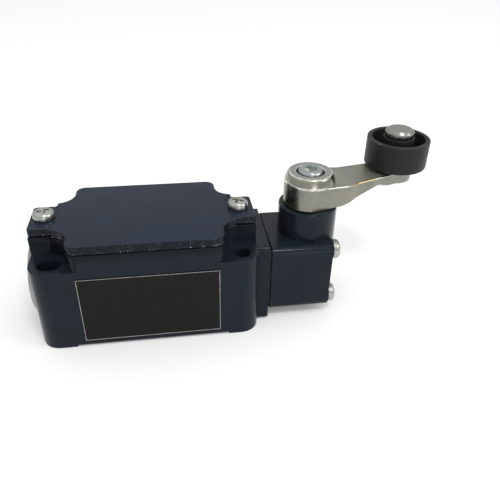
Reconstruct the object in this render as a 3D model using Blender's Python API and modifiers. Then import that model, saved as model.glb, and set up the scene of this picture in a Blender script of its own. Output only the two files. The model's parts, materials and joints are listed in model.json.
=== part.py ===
"""Limit switch with a sprung roller lever, modelled as the separate pieces it is assembled from.

Metres. +X runs from the cable entry to the operating head, +Z points out of the cover, and the origin is
the middle of the mounting-hole pattern on the back face.
"""
import math

import bmesh
import bpy
from mathutils import Matrix, Vector

# Clearances
SEAT_GAP = 0.0003           # between pieces that rest in or on each other
SEAL_GAP = 0.0001           # between a gasket or washer and the faces that squeeze it
RUN_GAP = 0.0003            # round pieces that turn or slide
COIL_SPACE = 0.00055        # least space between the turns of a spring

# Mounting pattern
HOLE_PITCH_X = 0.060
HOLE_PITCH_Y = 0.030
HOLE_DIAMETER = 0.0053
SLOT_LENGTH = 0.0073        # the holes at the cable end are slots along X

# Housing
ENTRY_END_MARGIN = 0.0065   # mounting hole to the cable end of the housing
HEAD_END_MARGIN = 0.0055    # mounting hole to the head end of the housing
SIDE_MARGIN = 0.0050        # mounting hole to the long sides
BODY_CORNER_R = 0.0060
SHELL_HEIGHT = 0.0354
LEDGE_HEIGHT = 0.0296       # corner ledges that carry the mounting screws
NOTCH_R = 0.0060            # clearance round each mounting screw
NOTCH_EDGE_R = 0.0030       # rounded corner where a notch meets the long side
SHOULDER_BACK = 0.0010      # tab shoulder, from the mounting hole towards the middle
NECK_WIDTH = 0.0158         # housing under the cover's end tabs
WALL = 0.0030
FLOOR = 0.0030
NECK_WALL = 0.0026
RELIEF_DEPTH = 0.00065      # long edges of the back face stand clear between the corner pads
RELIEF_WIDTH = 0.0040
RELIEF_END = 0.0050         # from the mounting hole to the end of the relief

# Cable entry
ENTRY_DIAMETER = 0.020      # M20 x 1.5
ENTRY_HEIGHT = 0.0165
COLLAR_DIAMETER = 0.0246
COLLAR_PROUD = 0.0018

# Cover
COVER_THICKNESS = 0.0027
COVER_GASKET_THICKNESS = 0.0008
COVER_GASKET_WIDTH = 0.0014
TAB_WIDTH = 0.0148
TAB_CORNER_R = 0.0010
TAB_STEP = 0.0003           # the tabs lie lower than the plate
TAB_STEP_R = 0.0150         # curve of the step
TAB_STEP_REACH = 0.0046     # from the cover screw to the step
COVER_SCREW_INSET_ENTRY = 0.0044
COVER_SCREW_INSET_HEAD = 0.0051
COVER_SCREW_DEPTH = 0.0068  # thread below the top of the housing
SCREW_BOSS_R = 0.0044

# Fasteners
M4_SHANK_R = 0.0018
M4_HOLE_R = 0.0021
M4_HEAD_R = 0.0034
M4_HEAD_HEIGHT = 0.0026

# Rating plate
PLATE_LENGTH = 0.0444
PLATE_HEIGHT = 0.0244
PLATE_THICKNESS = 0.0002
PLATE_BOTTOM = 0.0026

# Operating head
FLANGE_THICKNESS = 0.0040
FLANGE_LIP = 0.0003         # flange beyond the sides of the head
FLANGE_TOP_LIP = 0.0014
FLANGE_BOTTOM = 0.0001
FLANGE_CORNER_R = 0.0015
HEAD_GASKET_THICKNESS = 0.0004
GASKET_INSET = 0.0003
HEAD_LENGTH = 0.0210
HEAD_WIDTH = 0.0273
HEAD_HEIGHT = 0.0250
HEAD_CORNER_R = 0.0022
HEAD_CORNER_STEPS = 5
HEAD_AXIS_HEIGHT = 0.0160   # plunger axis above the back face
HEAD_SCREW_PITCH_Y = 0.0196
HEAD_SCREW_PITCH_Z = 0.0185
HEAD_SCREW_DEPTH = 0.0075   # thread below the face of the flange
LUG_R = 0.0038
LUG_LENGTH = 0.0063
LUG_PROUD = 0.0003
COUNTERBORE_R = 0.0039
SHAFT_INSET = 0.0065        # shaft axis from the end face of the head
BOSS_DIAMETER = 0.0200
BOSS_HEIGHT = 0.0101
BULGE_RISE = 0.0015
CHAMBER_R = 0.0070
CHAMBER_HEIGHT = 0.0140

# Shaft and cam
SHAFT_R = 0.0040
PIVOT_R = 0.0024
PIVOT_DEPTH = 0.0023
PIVOT_END_GAP = 0.0003
BUSH_WALL = 0.0016
BUSH_LENGTH = 0.0098
BUSH_START = 0.0012         # bush above the roof of the cam chamber
BEARING_GAP = 0.00015
SEAL_LENGTH = 0.0033
CLIP_THICKNESS = 0.0008
CLIP_GROOVE_DEPTH = 0.0006
CLIP_WIDTH = 0.0018
CLIP_OPENING = math.radians(70)
CAM_MEAN_R = 0.0050
CAM_THICKNESS = 0.0060
CAM_HUB_R = 0.0043
CAM_HUB_HEIGHT = 0.0030
CAM_HUB_ROOT = 0.0003       # hub sunk into the cam, above the plunger's path
CAM_PIN_R = 0.0008
SWING = math.radians(75)    # lever travel each way
SWING_MARGIN = math.radians(5)
PLUNGER_TRAVEL = 0.0014     # at full swing, each way

# Lever and roller
LEVER_ANGLE = math.radians(16.8)
LEVER_LENGTH = 0.0352       # shaft axis to roller axis
HUB_R = 0.00854
HUB_HEIGHT = 0.0083
HUB_CROWN_HEIGHT = 0.00295  # sloping shoulder and ring above the hub
HUB_RING_R = 0.0072
HUB_SHOULDER_R = 0.00775
HUB_RING_BEVEL = 0.00065
HUB_RECESS_R = 0.0047
HUB_RECESS_DEPTH = 0.00205
HUB_ROOF = 0.0023           # metal between the shaft's end and the recess
FLANK_HALF_WIDTH = 0.0084   # half width of the arm beside the hub
FLANK_LENGTH = 0.0103
FLAT_HALF_WIDTH = 0.0079    # flats on both sides, under a lip along the top
FLAT_LIP = 0.0013
WAIST_X = 0.0150
WAIST_HALF_WIDTH = 0.0070
ARM_DROP = 0.0010           # top of the arm below the hub's edge where the flanks end
WAIST_DROP = 0.00135
ARM_THICKNESS = 0.0030
SLOPE_START = 0.0102        # the underside rises from here
SLOPE_END = 0.0240
EYE_R = 0.0063              # round end that carries the roller
EYE_WRAP = 115              # degrees from the tip to where the flanks run into the round end
EYE_THICKNESS = 0.0042
EYE_DROP = 0.0015           # top of the eye below the hub's edge
EYE_FLAT = 0.0290           # the eye's faces are flat from here
ROLLER_R = 0.0108
ROLLER_WIDTH = 0.0100
ROLLER_RIM = 0.0017
ROLLER_HUB_R = 0.0054
ROLLER_HUB_PROUD = 0.0004
ROLLER_WEB = 0.0031
ROLLER_CHAMFER = 0.0007
ROLLER_WASHER_R = 0.0050
ROLLER_WASHER_THICKNESS = 0.0005
ROLLER_PIN_R = 0.0030
PIN_HEAD_R = 0.0050
PIN_HEAD_HEIGHT = 0.0024
PIN_HEAD_BEVEL = 0.0009
PIN_FOOT_R = 0.0041
PIN_FOOT_HEIGHT = 0.0009
LEVER_WASHER_R = 0.0045
LEVER_WASHER_THICKNESS = 0.0006
LEVER_SCREW_R = 0.0023
LEVER_SCREW_HEAD_R = 0.00425
LEVER_SCREW_HEAD_HEIGHT = 0.0020
LEVER_SCREW_LENGTH = 0.0140
LEVER_SCREW_BEVEL = 0.0006
SOCKET_DEPTH = 0.0012
SOCKET_ACROSS_FLATS = 0.0040

# Plunger
PLUNGER_R = 0.0022
PLUNGER_COLLAR_R = 0.0044
PLUNGER_COLLAR_WIDTH = 0.0020
PLUNGER_NECK = 0.0005
PASSAGE_R = 0.0053
GUIDE_LENGTH = 0.0070
PLUNGER_SEAL_LENGTH = 0.0018
SEAL_SETBACK = 0.0005
PLUNGER_SPRING_WIRE = 0.0007
PLUNGER_SPRING_R = 0.0036

# Switch insert
WIRING_SPACE = 0.0120       # free length between the cable end and the insert
INSERT_END_GAP = 0.0005
INSERT_WIDTH = 0.0260
CARRIER_WIDTH = 0.0080
CARRIER_HEIGHT = 0.0094
CARRIER_END = 0.0030        # carrier short of the insert's head end
SLIDEWAY_END_WALL = 0.0014
CARRIER_SPRING_WIRE = 0.0005
CARRIER_SPRING_R = 0.0015
TERMINAL_LENGTH = 0.0060
TERMINAL_THICKNESS = 0.0010
TERMINAL_INNER = 0.0065     # inner edge of the terminals from the middle
TERMINAL_WIDTH = 0.0055
TERMINAL_END_GAP = 0.0005
TERMINAL_LEG_DEPTH = 0.0087
CONTACT_TIP_R = 0.0014
FIXED_TIP_THICKNESS = 0.0006
BRIDGE_TIP_THICKNESS = 0.0003
BRIDGE_THICKNESS = 0.0008
BRIDGE_HEIGHT = 0.0040
BRIDGE_LENGTH = 0.0212
CONTACT_REST = 0.0004       # left between the tips at full travel
CONTACT_SPRING_WIRE = 0.0005
CONTACT_SPRING_R = 0.0014
WINDOW_WALL = 0.0007
TERMINAL_SCREW_INSET = 0.0024
TERMINAL_SCREW_R = 0.0013
TERMINAL_HOLE_R = 0.0016
TERMINAL_HEAD_R = 0.0026
TERMINAL_HEAD_HEIGHT = 0.0018
TERMINAL_SCREW_DEPTH = 0.0060
CLAMP_SIZE = 0.0052
CLAMP_THICKNESS = 0.0008
LID_THICKNESS = 0.0016
INSERT_SCREW_Y = 0.0090
INSERT_SCREW_R = 0.0011
INSERT_SCREW_HEAD_R = 0.0020
INSERT_SCREW_HEAD_HEIGHT = 0.0016
INSERT_SCREW_SEAT = 0.0060  # head seat above the underside of the insert
INSERT_SCREW_DEPTH = 0.0020

# Protective earth terminal
EARTH_X = 0.0060            # from the cable end of the wiring space
EARTH_Y = 0.0055            # from the long wall
EARTH_BOSS_R = 0.0036
EARTH_BOSS_HEIGHT = 0.0050
EARTH_CLAMP_R = 0.0040
EARTH_CLAMP_THICKNESS = 0.0008
EARTH_SCREW_DEPTH = 0.0055

# Facets
ROUND = 48
BORE = 32
SMALL = 16
COIL_POINTS = 9             # on each turn of a spring

# Places worked out from the sizes above
HOLE_X = HOLE_PITCH_X / 2
HOLE_Y = HOLE_PITCH_Y / 2
BODY_X0 = -HOLE_X - ENTRY_END_MARGIN
BODY_X1 = HOLE_X + HEAD_END_MARGIN
BODY_HALF = HOLE_Y + SIDE_MARGIN
NECK_HALF = NECK_WIDTH / 2
CAVITY_X = HOLE_X - NOTCH_R - WALL
CAVITY_Y = BODY_HALF - WALL
NECK_CAVITY_Y = NECK_HALF - NECK_WALL
COVER_SCREW_X = (BODY_X0 + COVER_SCREW_INSET_ENTRY, BODY_X1 - COVER_SCREW_INSET_HEAD)
NECK_X0 = COVER_SCREW_X[0] + SCREW_BOSS_R
NECK_X1 = COVER_SCREW_X[1] - SCREW_BOSS_R
COVER_Z = SHELL_HEIGHT + SEAT_GAP
COVER_GASKET_Z = COVER_Z - SEAL_GAP - COVER_GASKET_THICKNESS
COVER_GASKET_EDGE = SEAL_GAP + COVER_GASKET_WIDTH
COVER_TOP = COVER_Z + COVER_THICKNESS
TAB_TOP = COVER_TOP - TAB_STEP
FLANGE_X1 = BODY_X1 + FLANGE_THICKNESS
HEAD_GASKET_X = FLANGE_X1 + SEAL_GAP
HEAD_X0 = HEAD_GASKET_X + HEAD_GASKET_THICKNESS + SEAL_GAP
HEAD_X1 = HEAD_X0 + HEAD_LENGTH
HEAD_TOP = HEAD_AXIS_HEIGHT + HEAD_HEIGHT / 2
HEAD_BOTTOM = HEAD_AXIS_HEIGHT - HEAD_HEIGHT / 2
HEAD_SCREWS = [(y * HEAD_SCREW_PITCH_Y / 2, HEAD_AXIS_HEIGHT + z * HEAD_SCREW_PITCH_Z / 2)
               for y in (-1, 1) for z in (-1, 1)]
SHAFT_X = HEAD_X1 - SHAFT_INSET
BOSS_TOP = HEAD_TOP + BOSS_HEIGHT
CHAMBER_Z0 = HEAD_AXIS_HEIGHT - CHAMBER_HEIGHT / 2
CHAMBER_Z1 = HEAD_AXIS_HEIGHT + CHAMBER_HEIGHT / 2
BUSH_INNER_R = SHAFT_R + BEARING_GAP
BUSH_OUTER_R = BUSH_INNER_R + BUSH_WALL
BUSH_Z = CHAMBER_Z1 + BUSH_START
SHAFT_SEAL_Z = BUSH_Z + BUSH_LENGTH + SEAT_GAP
CAM_Z0 = HEAD_AXIS_HEIGHT - CAM_THICKNESS / 2
CAM_Z1 = HEAD_AXIS_HEIGHT + CAM_THICKNESS / 2
CAM_PIN_Z = CAM_Z1 + CAM_HUB_HEIGHT / 2
CAM_LEAD = PLUNGER_TRAVEL / SWING
HUB_Z = BOSS_TOP + RUN_GAP
HUB_EDGE_Z = HUB_Z + HUB_HEIGHT
HUB_TOP = HUB_EDGE_Z + HUB_CROWN_HEIGHT
RECESS_Z = HUB_TOP - HUB_RECESS_DEPTH
SHAFT_TOP = RECESS_Z - HUB_ROOF - SEAT_GAP
LEVER_WASHER_Z = RECESS_Z + SEAL_GAP
LEVER_HEAD_Z = LEVER_WASHER_Z + LEVER_WASHER_THICKNESS + SEAL_GAP
LEVER_SCREW_END = LEVER_HEAD_Z - LEVER_SCREW_LENGTH
EYE_TOP = HUB_EDGE_Z - EYE_DROP
EYE_BOTTOM = EYE_TOP - EYE_THICKNESS
ROLLER_WASHER_Z = EYE_TOP + SEAL_GAP
ROLLER_Z = ROLLER_WASHER_Z + ROLLER_WASHER_THICKNESS + RUN_GAP
ROLLER_TOP = ROLLER_Z + ROLLER_WIDTH
ROLLER_HUB_TOP = ROLLER_TOP + ROLLER_HUB_PROUD
PLUNGER_SEAL_X = NECK_X1 + SEAL_SETBACK
GUIDE_X = PLUNGER_SEAL_X + PLUNGER_SEAL_LENGTH + SEAT_GAP
GUIDE_X1 = GUIDE_X + GUIDE_LENGTH
NOSE_X = SHAFT_X - CAM_MEAN_R - RUN_GAP
COLLAR_X1 = NOSE_X - PLUNGER_R - PLUNGER_NECK
COLLAR_X0 = COLLAR_X1 - PLUNGER_COLLAR_WIDTH
INSERT_X0 = -CAVITY_X + WIRING_SPACE
INSERT_X1 = CAVITY_X - INSERT_END_GAP
INSERT_HALF = INSERT_WIDTH / 2
INSERT_Z0 = FLOOR + SEAT_GAP
INSERT_TOP = HEAD_AXIS_HEIGHT + CARRIER_HEIGHT / 2
SLIDEWAY_Z = HEAD_AXIS_HEIGHT - CARRIER_HEIGHT / 2 - RUN_GAP
SLIDEWAY_X0 = INSERT_X0 + SLIDEWAY_END_WALL
SLIDEWAY_HALF = CARRIER_WIDTH / 2 + RUN_GAP
CARRIER_X0 = SLIDEWAY_X0 + PLUNGER_TRAVEL + CONTACT_REST
CARRIER_X1 = INSERT_X1 - CARRIER_END
TERMINAL_Z = INSERT_TOP + SEAT_GAP
TERMINAL_TOP = TERMINAL_Z + TERMINAL_THICKNESS
TERMINAL_Y = TERMINAL_INNER + TERMINAL_WIDTH / 2
CONTACT_TIP_Y = TERMINAL_INNER + CONTACT_TIP_R + SEAT_GAP
CONTACT_GAP = PLUNGER_TRAVEL + CONTACT_REST
CONTACT_SLOT_Y = max(BRIDGE_LENGTH / 2, TERMINAL_INNER + TERMINAL_WIDTH) + RUN_GAP


class ContactSide:
    """Places along X of one pair of fixed contacts and its moving bridge.

    The pair stands at one end of the insert, and its bridge closes by moving towards that end.
    """

    def __init__(self, outer_end, inward):
        self.inward = inward
        self.plate_outer = outer_end + inward * TERMINAL_END_GAP
        self.plate_inner = self.plate_outer + inward * TERMINAL_LENGTH
        self.leg_outer = self.plate_inner - inward * TERMINAL_THICKNESS
        self.fixed_tip = self.plate_inner + inward * FIXED_TIP_THICKNESS
        self.bridge_tip = self.fixed_tip + inward * CONTACT_GAP
        self.bridge_outer = self.bridge_tip + inward * BRIDGE_TIP_THICKNESS
        self.bridge_inner = self.bridge_outer + inward * BRIDGE_THICKNESS
        self.slot_inner = self.bridge_inner + inward * (PLUNGER_TRAVEL + RUN_GAP)
        self.screw = self.plate_outer + inward * TERMINAL_SCREW_INSET


CABLE_SIDE = ContactSide(INSERT_X0, 1)
HEAD_SIDE = ContactSide(INSERT_X1, -1)
CONTACT_SIDES = (CABLE_SIDE, HEAD_SIDE)
INSERT_MIDDLE = (CABLE_SIDE.bridge_tip + HEAD_SIDE.bridge_tip) / 2
INSERT_SCREW_SEAT_Z = INSERT_Z0 + INSERT_SCREW_SEAT
EARTH = (-CAVITY_X + EARTH_X, CAVITY_Y - EARTH_Y)
EARTH_TOP = FLOOR + EARTH_BOSS_HEIGHT

# Local Z of a shape turned to lie along each axis
ALONG = {
    "X": Matrix(((0, 0, 1), (1, 0, 0), (0, 1, 0))).to_4x4(),
    "Y": Matrix(((1, 0, 0), (0, 0, -1), (0, 1, 0))).to_4x4(),
    "Z": Matrix.Identity(4),
}


def new_collection(name):
    """A collection under the scene, emptied if an earlier run left it."""
    old = bpy.data.collections.get(name)
    if old:
        bpy.data.collections.remove(old)
    collection = bpy.data.collections.new(name)
    bpy.context.scene.collection.children.link(collection)
    return collection


for leftover in list(bpy.data.objects):
    bpy.data.objects.remove(leftover, do_unlink=True)
PARTS = new_collection("limit_switch")
CUTTERS = new_collection("cutters")


def material(name, colour, roughness, metallic):
    """A Principled material."""
    made = bpy.data.materials.new(name)
    made.use_nodes = True
    shader = made.node_tree.nodes["Principled BSDF"]
    shader.inputs["Base Color"].default_value = (*colour, 1.0)
    shader.inputs["Roughness"].default_value = roughness
    shader.inputs["Metallic"].default_value = metallic
    made.diffuse_color = (*colour, 1.0)
    return made


ENAMEL = ("enamel", (0.030, 0.036, 0.050), 0.38, 0.0)
PLATE_INK = ("plate_black", (0.012, 0.013, 0.014), 0.45, 0.0)
ZINC = ("zinc", (0.62, 0.63, 0.62), 0.30, 1.0)
DIECAST = ("plated_diecast", (0.50, 0.50, 0.46), 0.32, 1.0)
STEEL = ("steel", (0.55, 0.55, 0.54), 0.35, 1.0)
BRONZE = ("bronze", (0.52, 0.36, 0.18), 0.45, 1.0)
BRASS = ("brass", (0.72, 0.56, 0.26), 0.30, 1.0)
SILVER = ("silver_alloy", (0.80, 0.79, 0.76), 0.28, 1.0)
RUBBER = ("rubber", (0.014, 0.014, 0.014), 0.75, 0.0)
ROLLER_PLASTIC = ("roller_plastic", (0.022, 0.022, 0.022), 0.55, 0.0)
INSERT_PLASTIC = ("insert_plastic", (0.05, 0.045, 0.04), 0.5, 0.0)
CARRIER_PLASTIC = ("carrier_plastic", (0.72, 0.70, 0.64), 0.5, 0.0)


def cutter(name, mesh, matrix=None, parent=None):
    """A hidden helper object."""
    made = bpy.data.objects.new(name, mesh)
    made.hide_render = True
    made.display_type = "WIRE"
    made.parent = parent
    if matrix is not None:
        made.matrix_local = matrix
    CUTTERS.objects.link(made)
    return made


def part(made, name, finish):
    """Turn a helper into one of the switch's pieces, with its own material."""
    CUTTERS.objects.unlink(made)
    PARTS.objects.link(made)
    made.hide_render = False
    made.display_type = "TEXTURED"
    made.name = name
    label, colour, roughness, metallic = finish
    made.data.materials.append(material(f"{name}_{label}", colour, roughness, metallic))
    return made


def boolean(made, other, operation):
    """Join, cut or intersect with another object."""
    step = made.modifiers.new(f"{operation.lower()}_{other.name}", "BOOLEAN")
    step.operation = operation
    step.object = other
    step.solver = "EXACT"


def cut(made, *others):
    """Cut other shapes out of a piece."""
    for other in others:
        boolean(made, other, "DIFFERENCE")


def join(made, *others):
    """Add other shapes to a piece."""
    for other in others:
        boolean(made, other, "UNION")


def mesh_from(bm, name):
    """A mesh from a finished bmesh."""
    mesh = bpy.data.meshes.new(name)
    bm.to_mesh(mesh)
    bm.free()
    return mesh


def box(name, low, high, parent=None):
    """A box between two corners."""
    low = Vector(low)
    high = Vector(high)
    bm = bmesh.new()
    bmesh.ops.create_cube(bm, size=1.0)
    bmesh.ops.scale(bm, vec=high - low, verts=bm.verts)
    bmesh.ops.translate(bm, vec=(low + high) / 2, verts=bm.verts)
    return cutter(name, mesh_from(bm, name), parent=parent)


def cylinder(name, radius, low, high, centre=(0, 0, 0), along="Z", segments=BORE, parent=None):
    """A round bar from low to high along an axis through a centre."""
    bm = bmesh.new()
    bmesh.ops.create_cone(bm, cap_ends=True, segments=segments, radius1=radius, radius2=radius,
                          depth=high - low)
    bmesh.ops.translate(bm, vec=(0, 0, (low + high) / 2), verts=bm.verts)
    mesh = mesh_from(bm, name)
    mesh.shade_smooth()
    mesh.set_sharp_from_angle(angle=math.radians(35))
    return cutter(name, mesh, Matrix.Translation(centre) @ ALONG[along], parent)


def prism(name, outline, low, high, along="Z", parent=None):
    """An outline given a thickness from low to high along an axis."""
    bm = bmesh.new()
    face = bm.faces.new([bm.verts.new((x, y, low)) for x, y in outline])
    raised = bmesh.ops.extrude_face_region(bm, geom=[face])["geom"]
    lifted = [item for item in raised if isinstance(item, bmesh.types.BMVert)]
    bmesh.ops.translate(bm, vec=(0, 0, high - low), verts=lifted)
    bmesh.ops.recalc_face_normals(bm, faces=bm.faces)
    return cutter(name, mesh_from(bm, name), ALONG[along], parent)


def turned(name, profile, centre=(0, 0, 0), along="Z", segments=ROUND, ring=False, parent=None):
    """A turned shape from (radius, height) points that run down its outer side."""
    bm = bmesh.new()
    points = [bm.verts.new((radius, 0, height)) for radius, height in profile]
    for start, end in zip(points, points[1:]):
        bm.edges.new((start, end))
    if ring:
        bm.edges.new((points[-1], points[0]))
    made = cutter(name, mesh_from(bm, name), Matrix.Translation(centre) @ ALONG[along], parent)
    step = made.modifiers.new("turn", "SCREW")
    step.steps = segments
    step.render_steps = segments
    step.use_merge_vertices = True
    step.merge_threshold = 1e-6
    step.use_smooth_shade = True
    return made


def coil(name, radius, wire, length):
    """A compression spring along +X from the origin, as one unbroken wire."""
    rise = length - wire
    turns = max(2, int(rise / (wire + COIL_SPACE)))
    count = turns * COIL_POINTS
    points = []
    for index in range(count + 1):
        angle = 2 * math.pi * index / COIL_POINTS
        points.append(Vector((wire / 2 + rise * index / count, radius * math.cos(angle),
                              radius * math.sin(angle))))
    apart = [(a - b).length for i, a in enumerate(points) for b in points[i + COIL_POINTS - 2:]]
    print(f"{name}: least gap to itself {1000 * (min(apart) - wire):.2f} mm")
    curve = bpy.data.curves.new(name, "CURVE")
    curve.dimensions = "3D"
    curve.bevel_depth = wire / 2
    curve.bevel_resolution = 1
    curve.use_fill_caps = True
    spline = curve.splines.new("POLY")
    spline.points.add(count)
    for point, place in zip(spline.points, points):
        point.co = (*place, 1)
    drawn = bpy.data.objects.new(name, curve)
    bpy.context.scene.collection.objects.link(drawn)
    seen = drawn.evaluated_get(bpy.context.evaluated_depsgraph_get())
    mesh = bpy.data.meshes.new_from_object(seen)
    bpy.data.objects.remove(drawn)
    bm = bmesh.new()
    bm.from_mesh(mesh)
    bpy.data.meshes.remove(mesh)
    bmesh.ops.remove_doubles(bm, verts=bm.verts, dist=1e-7)
    bmesh.ops.recalc_face_normals(bm, faces=bm.faces)
    return cutter(name, mesh_from(bm, name))


def arc(centre, radius, start, end, steps):
    """Points on an arc, both ends included, with angles in degrees."""
    points = []
    for index in range(steps + 1):
        angle = math.radians(start + (end - start) * index / steps)
        points.append((centre[0] + radius * math.cos(angle), centre[1] + radius * math.sin(angle)))
    return points


def rounded_rectangle(x0, x1, y0, y1, radius, steps=6):
    """A rectangle with rounded corners, anticlockwise."""
    return (arc((x1 - radius, y0 + radius), radius, -90, 0, steps)
            + arc((x1 - radius, y1 - radius), radius, 0, 90, steps)
            + arc((x0 + radius, y1 - radius), radius, 90, 180, steps)
            + arc((x0 + radius, y0 + radius), radius, 180, 270, steps))


def slot(x, y, length, width):
    """A slot along X with round ends."""
    reach = (length - width) / 2
    return (arc((x + reach, y), width / 2, -90, 90, SMALL // 2)
            + arc((x - reach, y), width / 2, 90, 270, SMALL // 2))


def notch_edge():
    """From the shoulder of an end tab, round the mounting screw, to the long side, in the +X +Y corner."""
    back = math.degrees(math.asin(SHOULDER_BACK / NOTCH_R))
    corner = (HOLE_X - NOTCH_R - NOTCH_EDGE_R, BODY_HALF - NOTCH_EDGE_R)
    return arc((HOLE_X, HOLE_Y), NOTCH_R, -90 - back, -180, 8) + arc(corner, NOTCH_EDGE_R, 0, 90, 6)


def mirrored(points, x_sign, y_sign):
    """The same points in another quarter."""
    return [(x_sign * x, y_sign * y) for x, y in points]


def cover_outline():
    """The cover from above: a plate with an end tab between the mounting screws at each end."""
    half = TAB_WIDTH / 2
    shoulder = [(HOLE_X - SHOULDER_BACK, half)]
    quarter = shoulder + notch_edge()
    head_end = arc((BODY_X1 - TAB_CORNER_R, half - TAB_CORNER_R), TAB_CORNER_R, 0, 90, 3)
    entry_end = arc((-BODY_X0 - TAB_CORNER_R, half - TAB_CORNER_R), TAB_CORNER_R, 0, 90, 3)
    return (head_end + quarter
            + mirrored(reversed(entry_end + quarter), -1, 1)
            + mirrored(entry_end + quarter, -1, -1)
            + mirrored(reversed(head_end + quarter), 1, -1))


def cross_outline(grow):
    """The opening of the housing, a rectangle with a narrower neck at each end, grown all round."""
    x = CAVITY_X + grow
    y = CAVITY_Y + grow
    neck = NECK_CAVITY_Y + grow
    x0 = NECK_X0 - grow
    x1 = NECK_X1 + grow
    return [(x1, -neck), (x1, neck), (x, neck), (x, y), (-x, y), (-x, neck),
            (x0, neck), (x0, -neck), (-x, -neck), (-x, -y), (x, -y), (x, -neck)]


def notch_cutter(x_sign, y_sign):
    """One stepped-down corner of the housing, cut above its ledge."""
    beyond = HOLE_X + ENTRY_END_MARGIN + WALL
    outline = ([(beyond, NECK_HALF), (HOLE_X - SHOULDER_BACK, NECK_HALF)] + notch_edge()
               + [(HOLE_X - NOTCH_R - NOTCH_EDGE_R, BODY_HALF + WALL), (beyond, BODY_HALF + WALL)])
    return prism("notch", mirrored(outline, x_sign, y_sign), LEDGE_HEIGHT, SHELL_HEIGHT + WALL)


def pan_screw(name, finish, head_r, head_height, shank_r, length, centre, along="Z", parent=None):
    """A pan-head screw along an axis, its head's seat at the centre."""
    profile = [(0, head_height), (head_r * 0.55, head_height * 0.98), (head_r * 0.86, head_height * 0.86),
               (head_r, head_height * 0.55), (head_r, 0), (shank_r, 0), (shank_r, -length + shank_r / 2),
               (shank_r / 2, -length), (0, -length)]
    part(turned(name, profile, centre, along, SMALL, parent=parent), name, finish)


def make_housing():
    """Shell with corner ledges, head flange, cable entry and the seats of what it carries."""
    shell = prism("housing", rounded_rectangle(BODY_X0, BODY_X1, -BODY_HALF, BODY_HALF, BODY_CORNER_R),
                  0, SHELL_HEIGHT)
    part(shell, "housing", ENAMEL)
    flange_half = HEAD_WIDTH / 2 + FLANGE_LIP
    flange = rounded_rectangle(-flange_half, flange_half, FLANGE_BOTTOM, HEAD_TOP + FLANGE_TOP_LIP,
                               FLANGE_CORNER_R, 3)
    entry = (0, 0, ENTRY_HEIGHT)
    collar_x = BODY_X0 - COLLAR_PROUD
    for x_sign in (-1, 1):
        for y_sign in (-1, 1):
            cut(shell, notch_cutter(x_sign, y_sign))
    join(shell, prism("flange", flange, BODY_X1 - SEAT_GAP, FLANGE_X1, "X"))
    join(shell, cylinder("collar", COLLAR_DIAMETER / 2, collar_x, BODY_X0 + WALL, entry, "X", ROUND))
    cut(shell, prism("chamber", cross_outline(0), FLOOR, SHELL_HEIGHT + WALL))
    cut(shell, prism("gasket_seat", cross_outline(COVER_GASKET_EDGE + SEAL_GAP), COVER_GASKET_Z - SEAL_GAP,
                     SHELL_HEIGHT + WALL))
    join(shell, cylinder("earth_boss", EARTH_BOSS_R, FLOOR / 2, EARTH_TOP, (*EARTH, 0), segments=SMALL))
    cut(shell, cylinder("entry_bore", ENTRY_DIAMETER / 2, collar_x - WALL, WALL / 2 - CAVITY_X, entry, "X",
                        ROUND))
    cut(shell, cylinder("passage", PASSAGE_R, NECK_X1 - WALL, FLANGE_X1 + WALL, (0, 0, HEAD_AXIS_HEIGHT),
                        "X"))
    for y_sign in (-1, 1):
        long_hole = slot(-HOLE_X, y_sign * HOLE_Y, SLOT_LENGTH, HOLE_DIAMETER)
        cut(shell, prism("mounting_slot", long_hole, -WALL, LEDGE_HEIGHT + WALL))
        cut(shell, cylinder("mounting_hole", HOLE_DIAMETER / 2, -WALL, LEDGE_HEIGHT + WALL,
                            (HOLE_X, y_sign * HOLE_Y, 0), segments=SMALL))
        edge = y_sign * BODY_HALF
        relief = sorted((edge - y_sign * RELIEF_WIDTH, edge + y_sign * WALL))
        reach = HOLE_X - RELIEF_END
        cut(shell, box("relief", (-reach, relief[0], -WALL), (reach, relief[1], RELIEF_DEPTH)))
        cut(shell, cylinder("insert_thread", INSERT_SCREW_R + SEAT_GAP, FLOOR - INSERT_SCREW_DEPTH,
                            FLOOR + WALL, (INSERT_MIDDLE, y_sign * INSERT_SCREW_Y, 0), segments=SMALL))
    for x in COVER_SCREW_X:
        cut(shell, cylinder("cover_thread", M4_HOLE_R, SHELL_HEIGHT - COVER_SCREW_DEPTH - SEAT_GAP,
                            SHELL_HEIGHT + WALL, (x, 0, 0), segments=SMALL))
    for y, z in HEAD_SCREWS:
        cut(shell, cylinder("head_thread", M4_HOLE_R, FLANGE_X1 - HEAD_SCREW_DEPTH - SEAT_GAP,
                            FLANGE_X1 + WALL, (0, y, z), "X", SMALL))
    cut(shell, cylinder("earth_thread", M4_HOLE_R, EARTH_TOP - EARTH_SCREW_DEPTH - SEAT_GAP,
                        EARTH_TOP + WALL, (*EARTH, 0), segments=SMALL))


def make_rating_plate():
    """Thin plate on the near long side."""
    face = -BODY_HALF - SEAL_GAP
    plate = box("rating_plate", (-PLATE_LENGTH / 2, face - PLATE_THICKNESS, PLATE_BOTTOM),
                (PLATE_LENGTH / 2, face, PLATE_BOTTOM + PLATE_HEIGHT))
    part(plate, "rating_plate", PLATE_INK)


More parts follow.
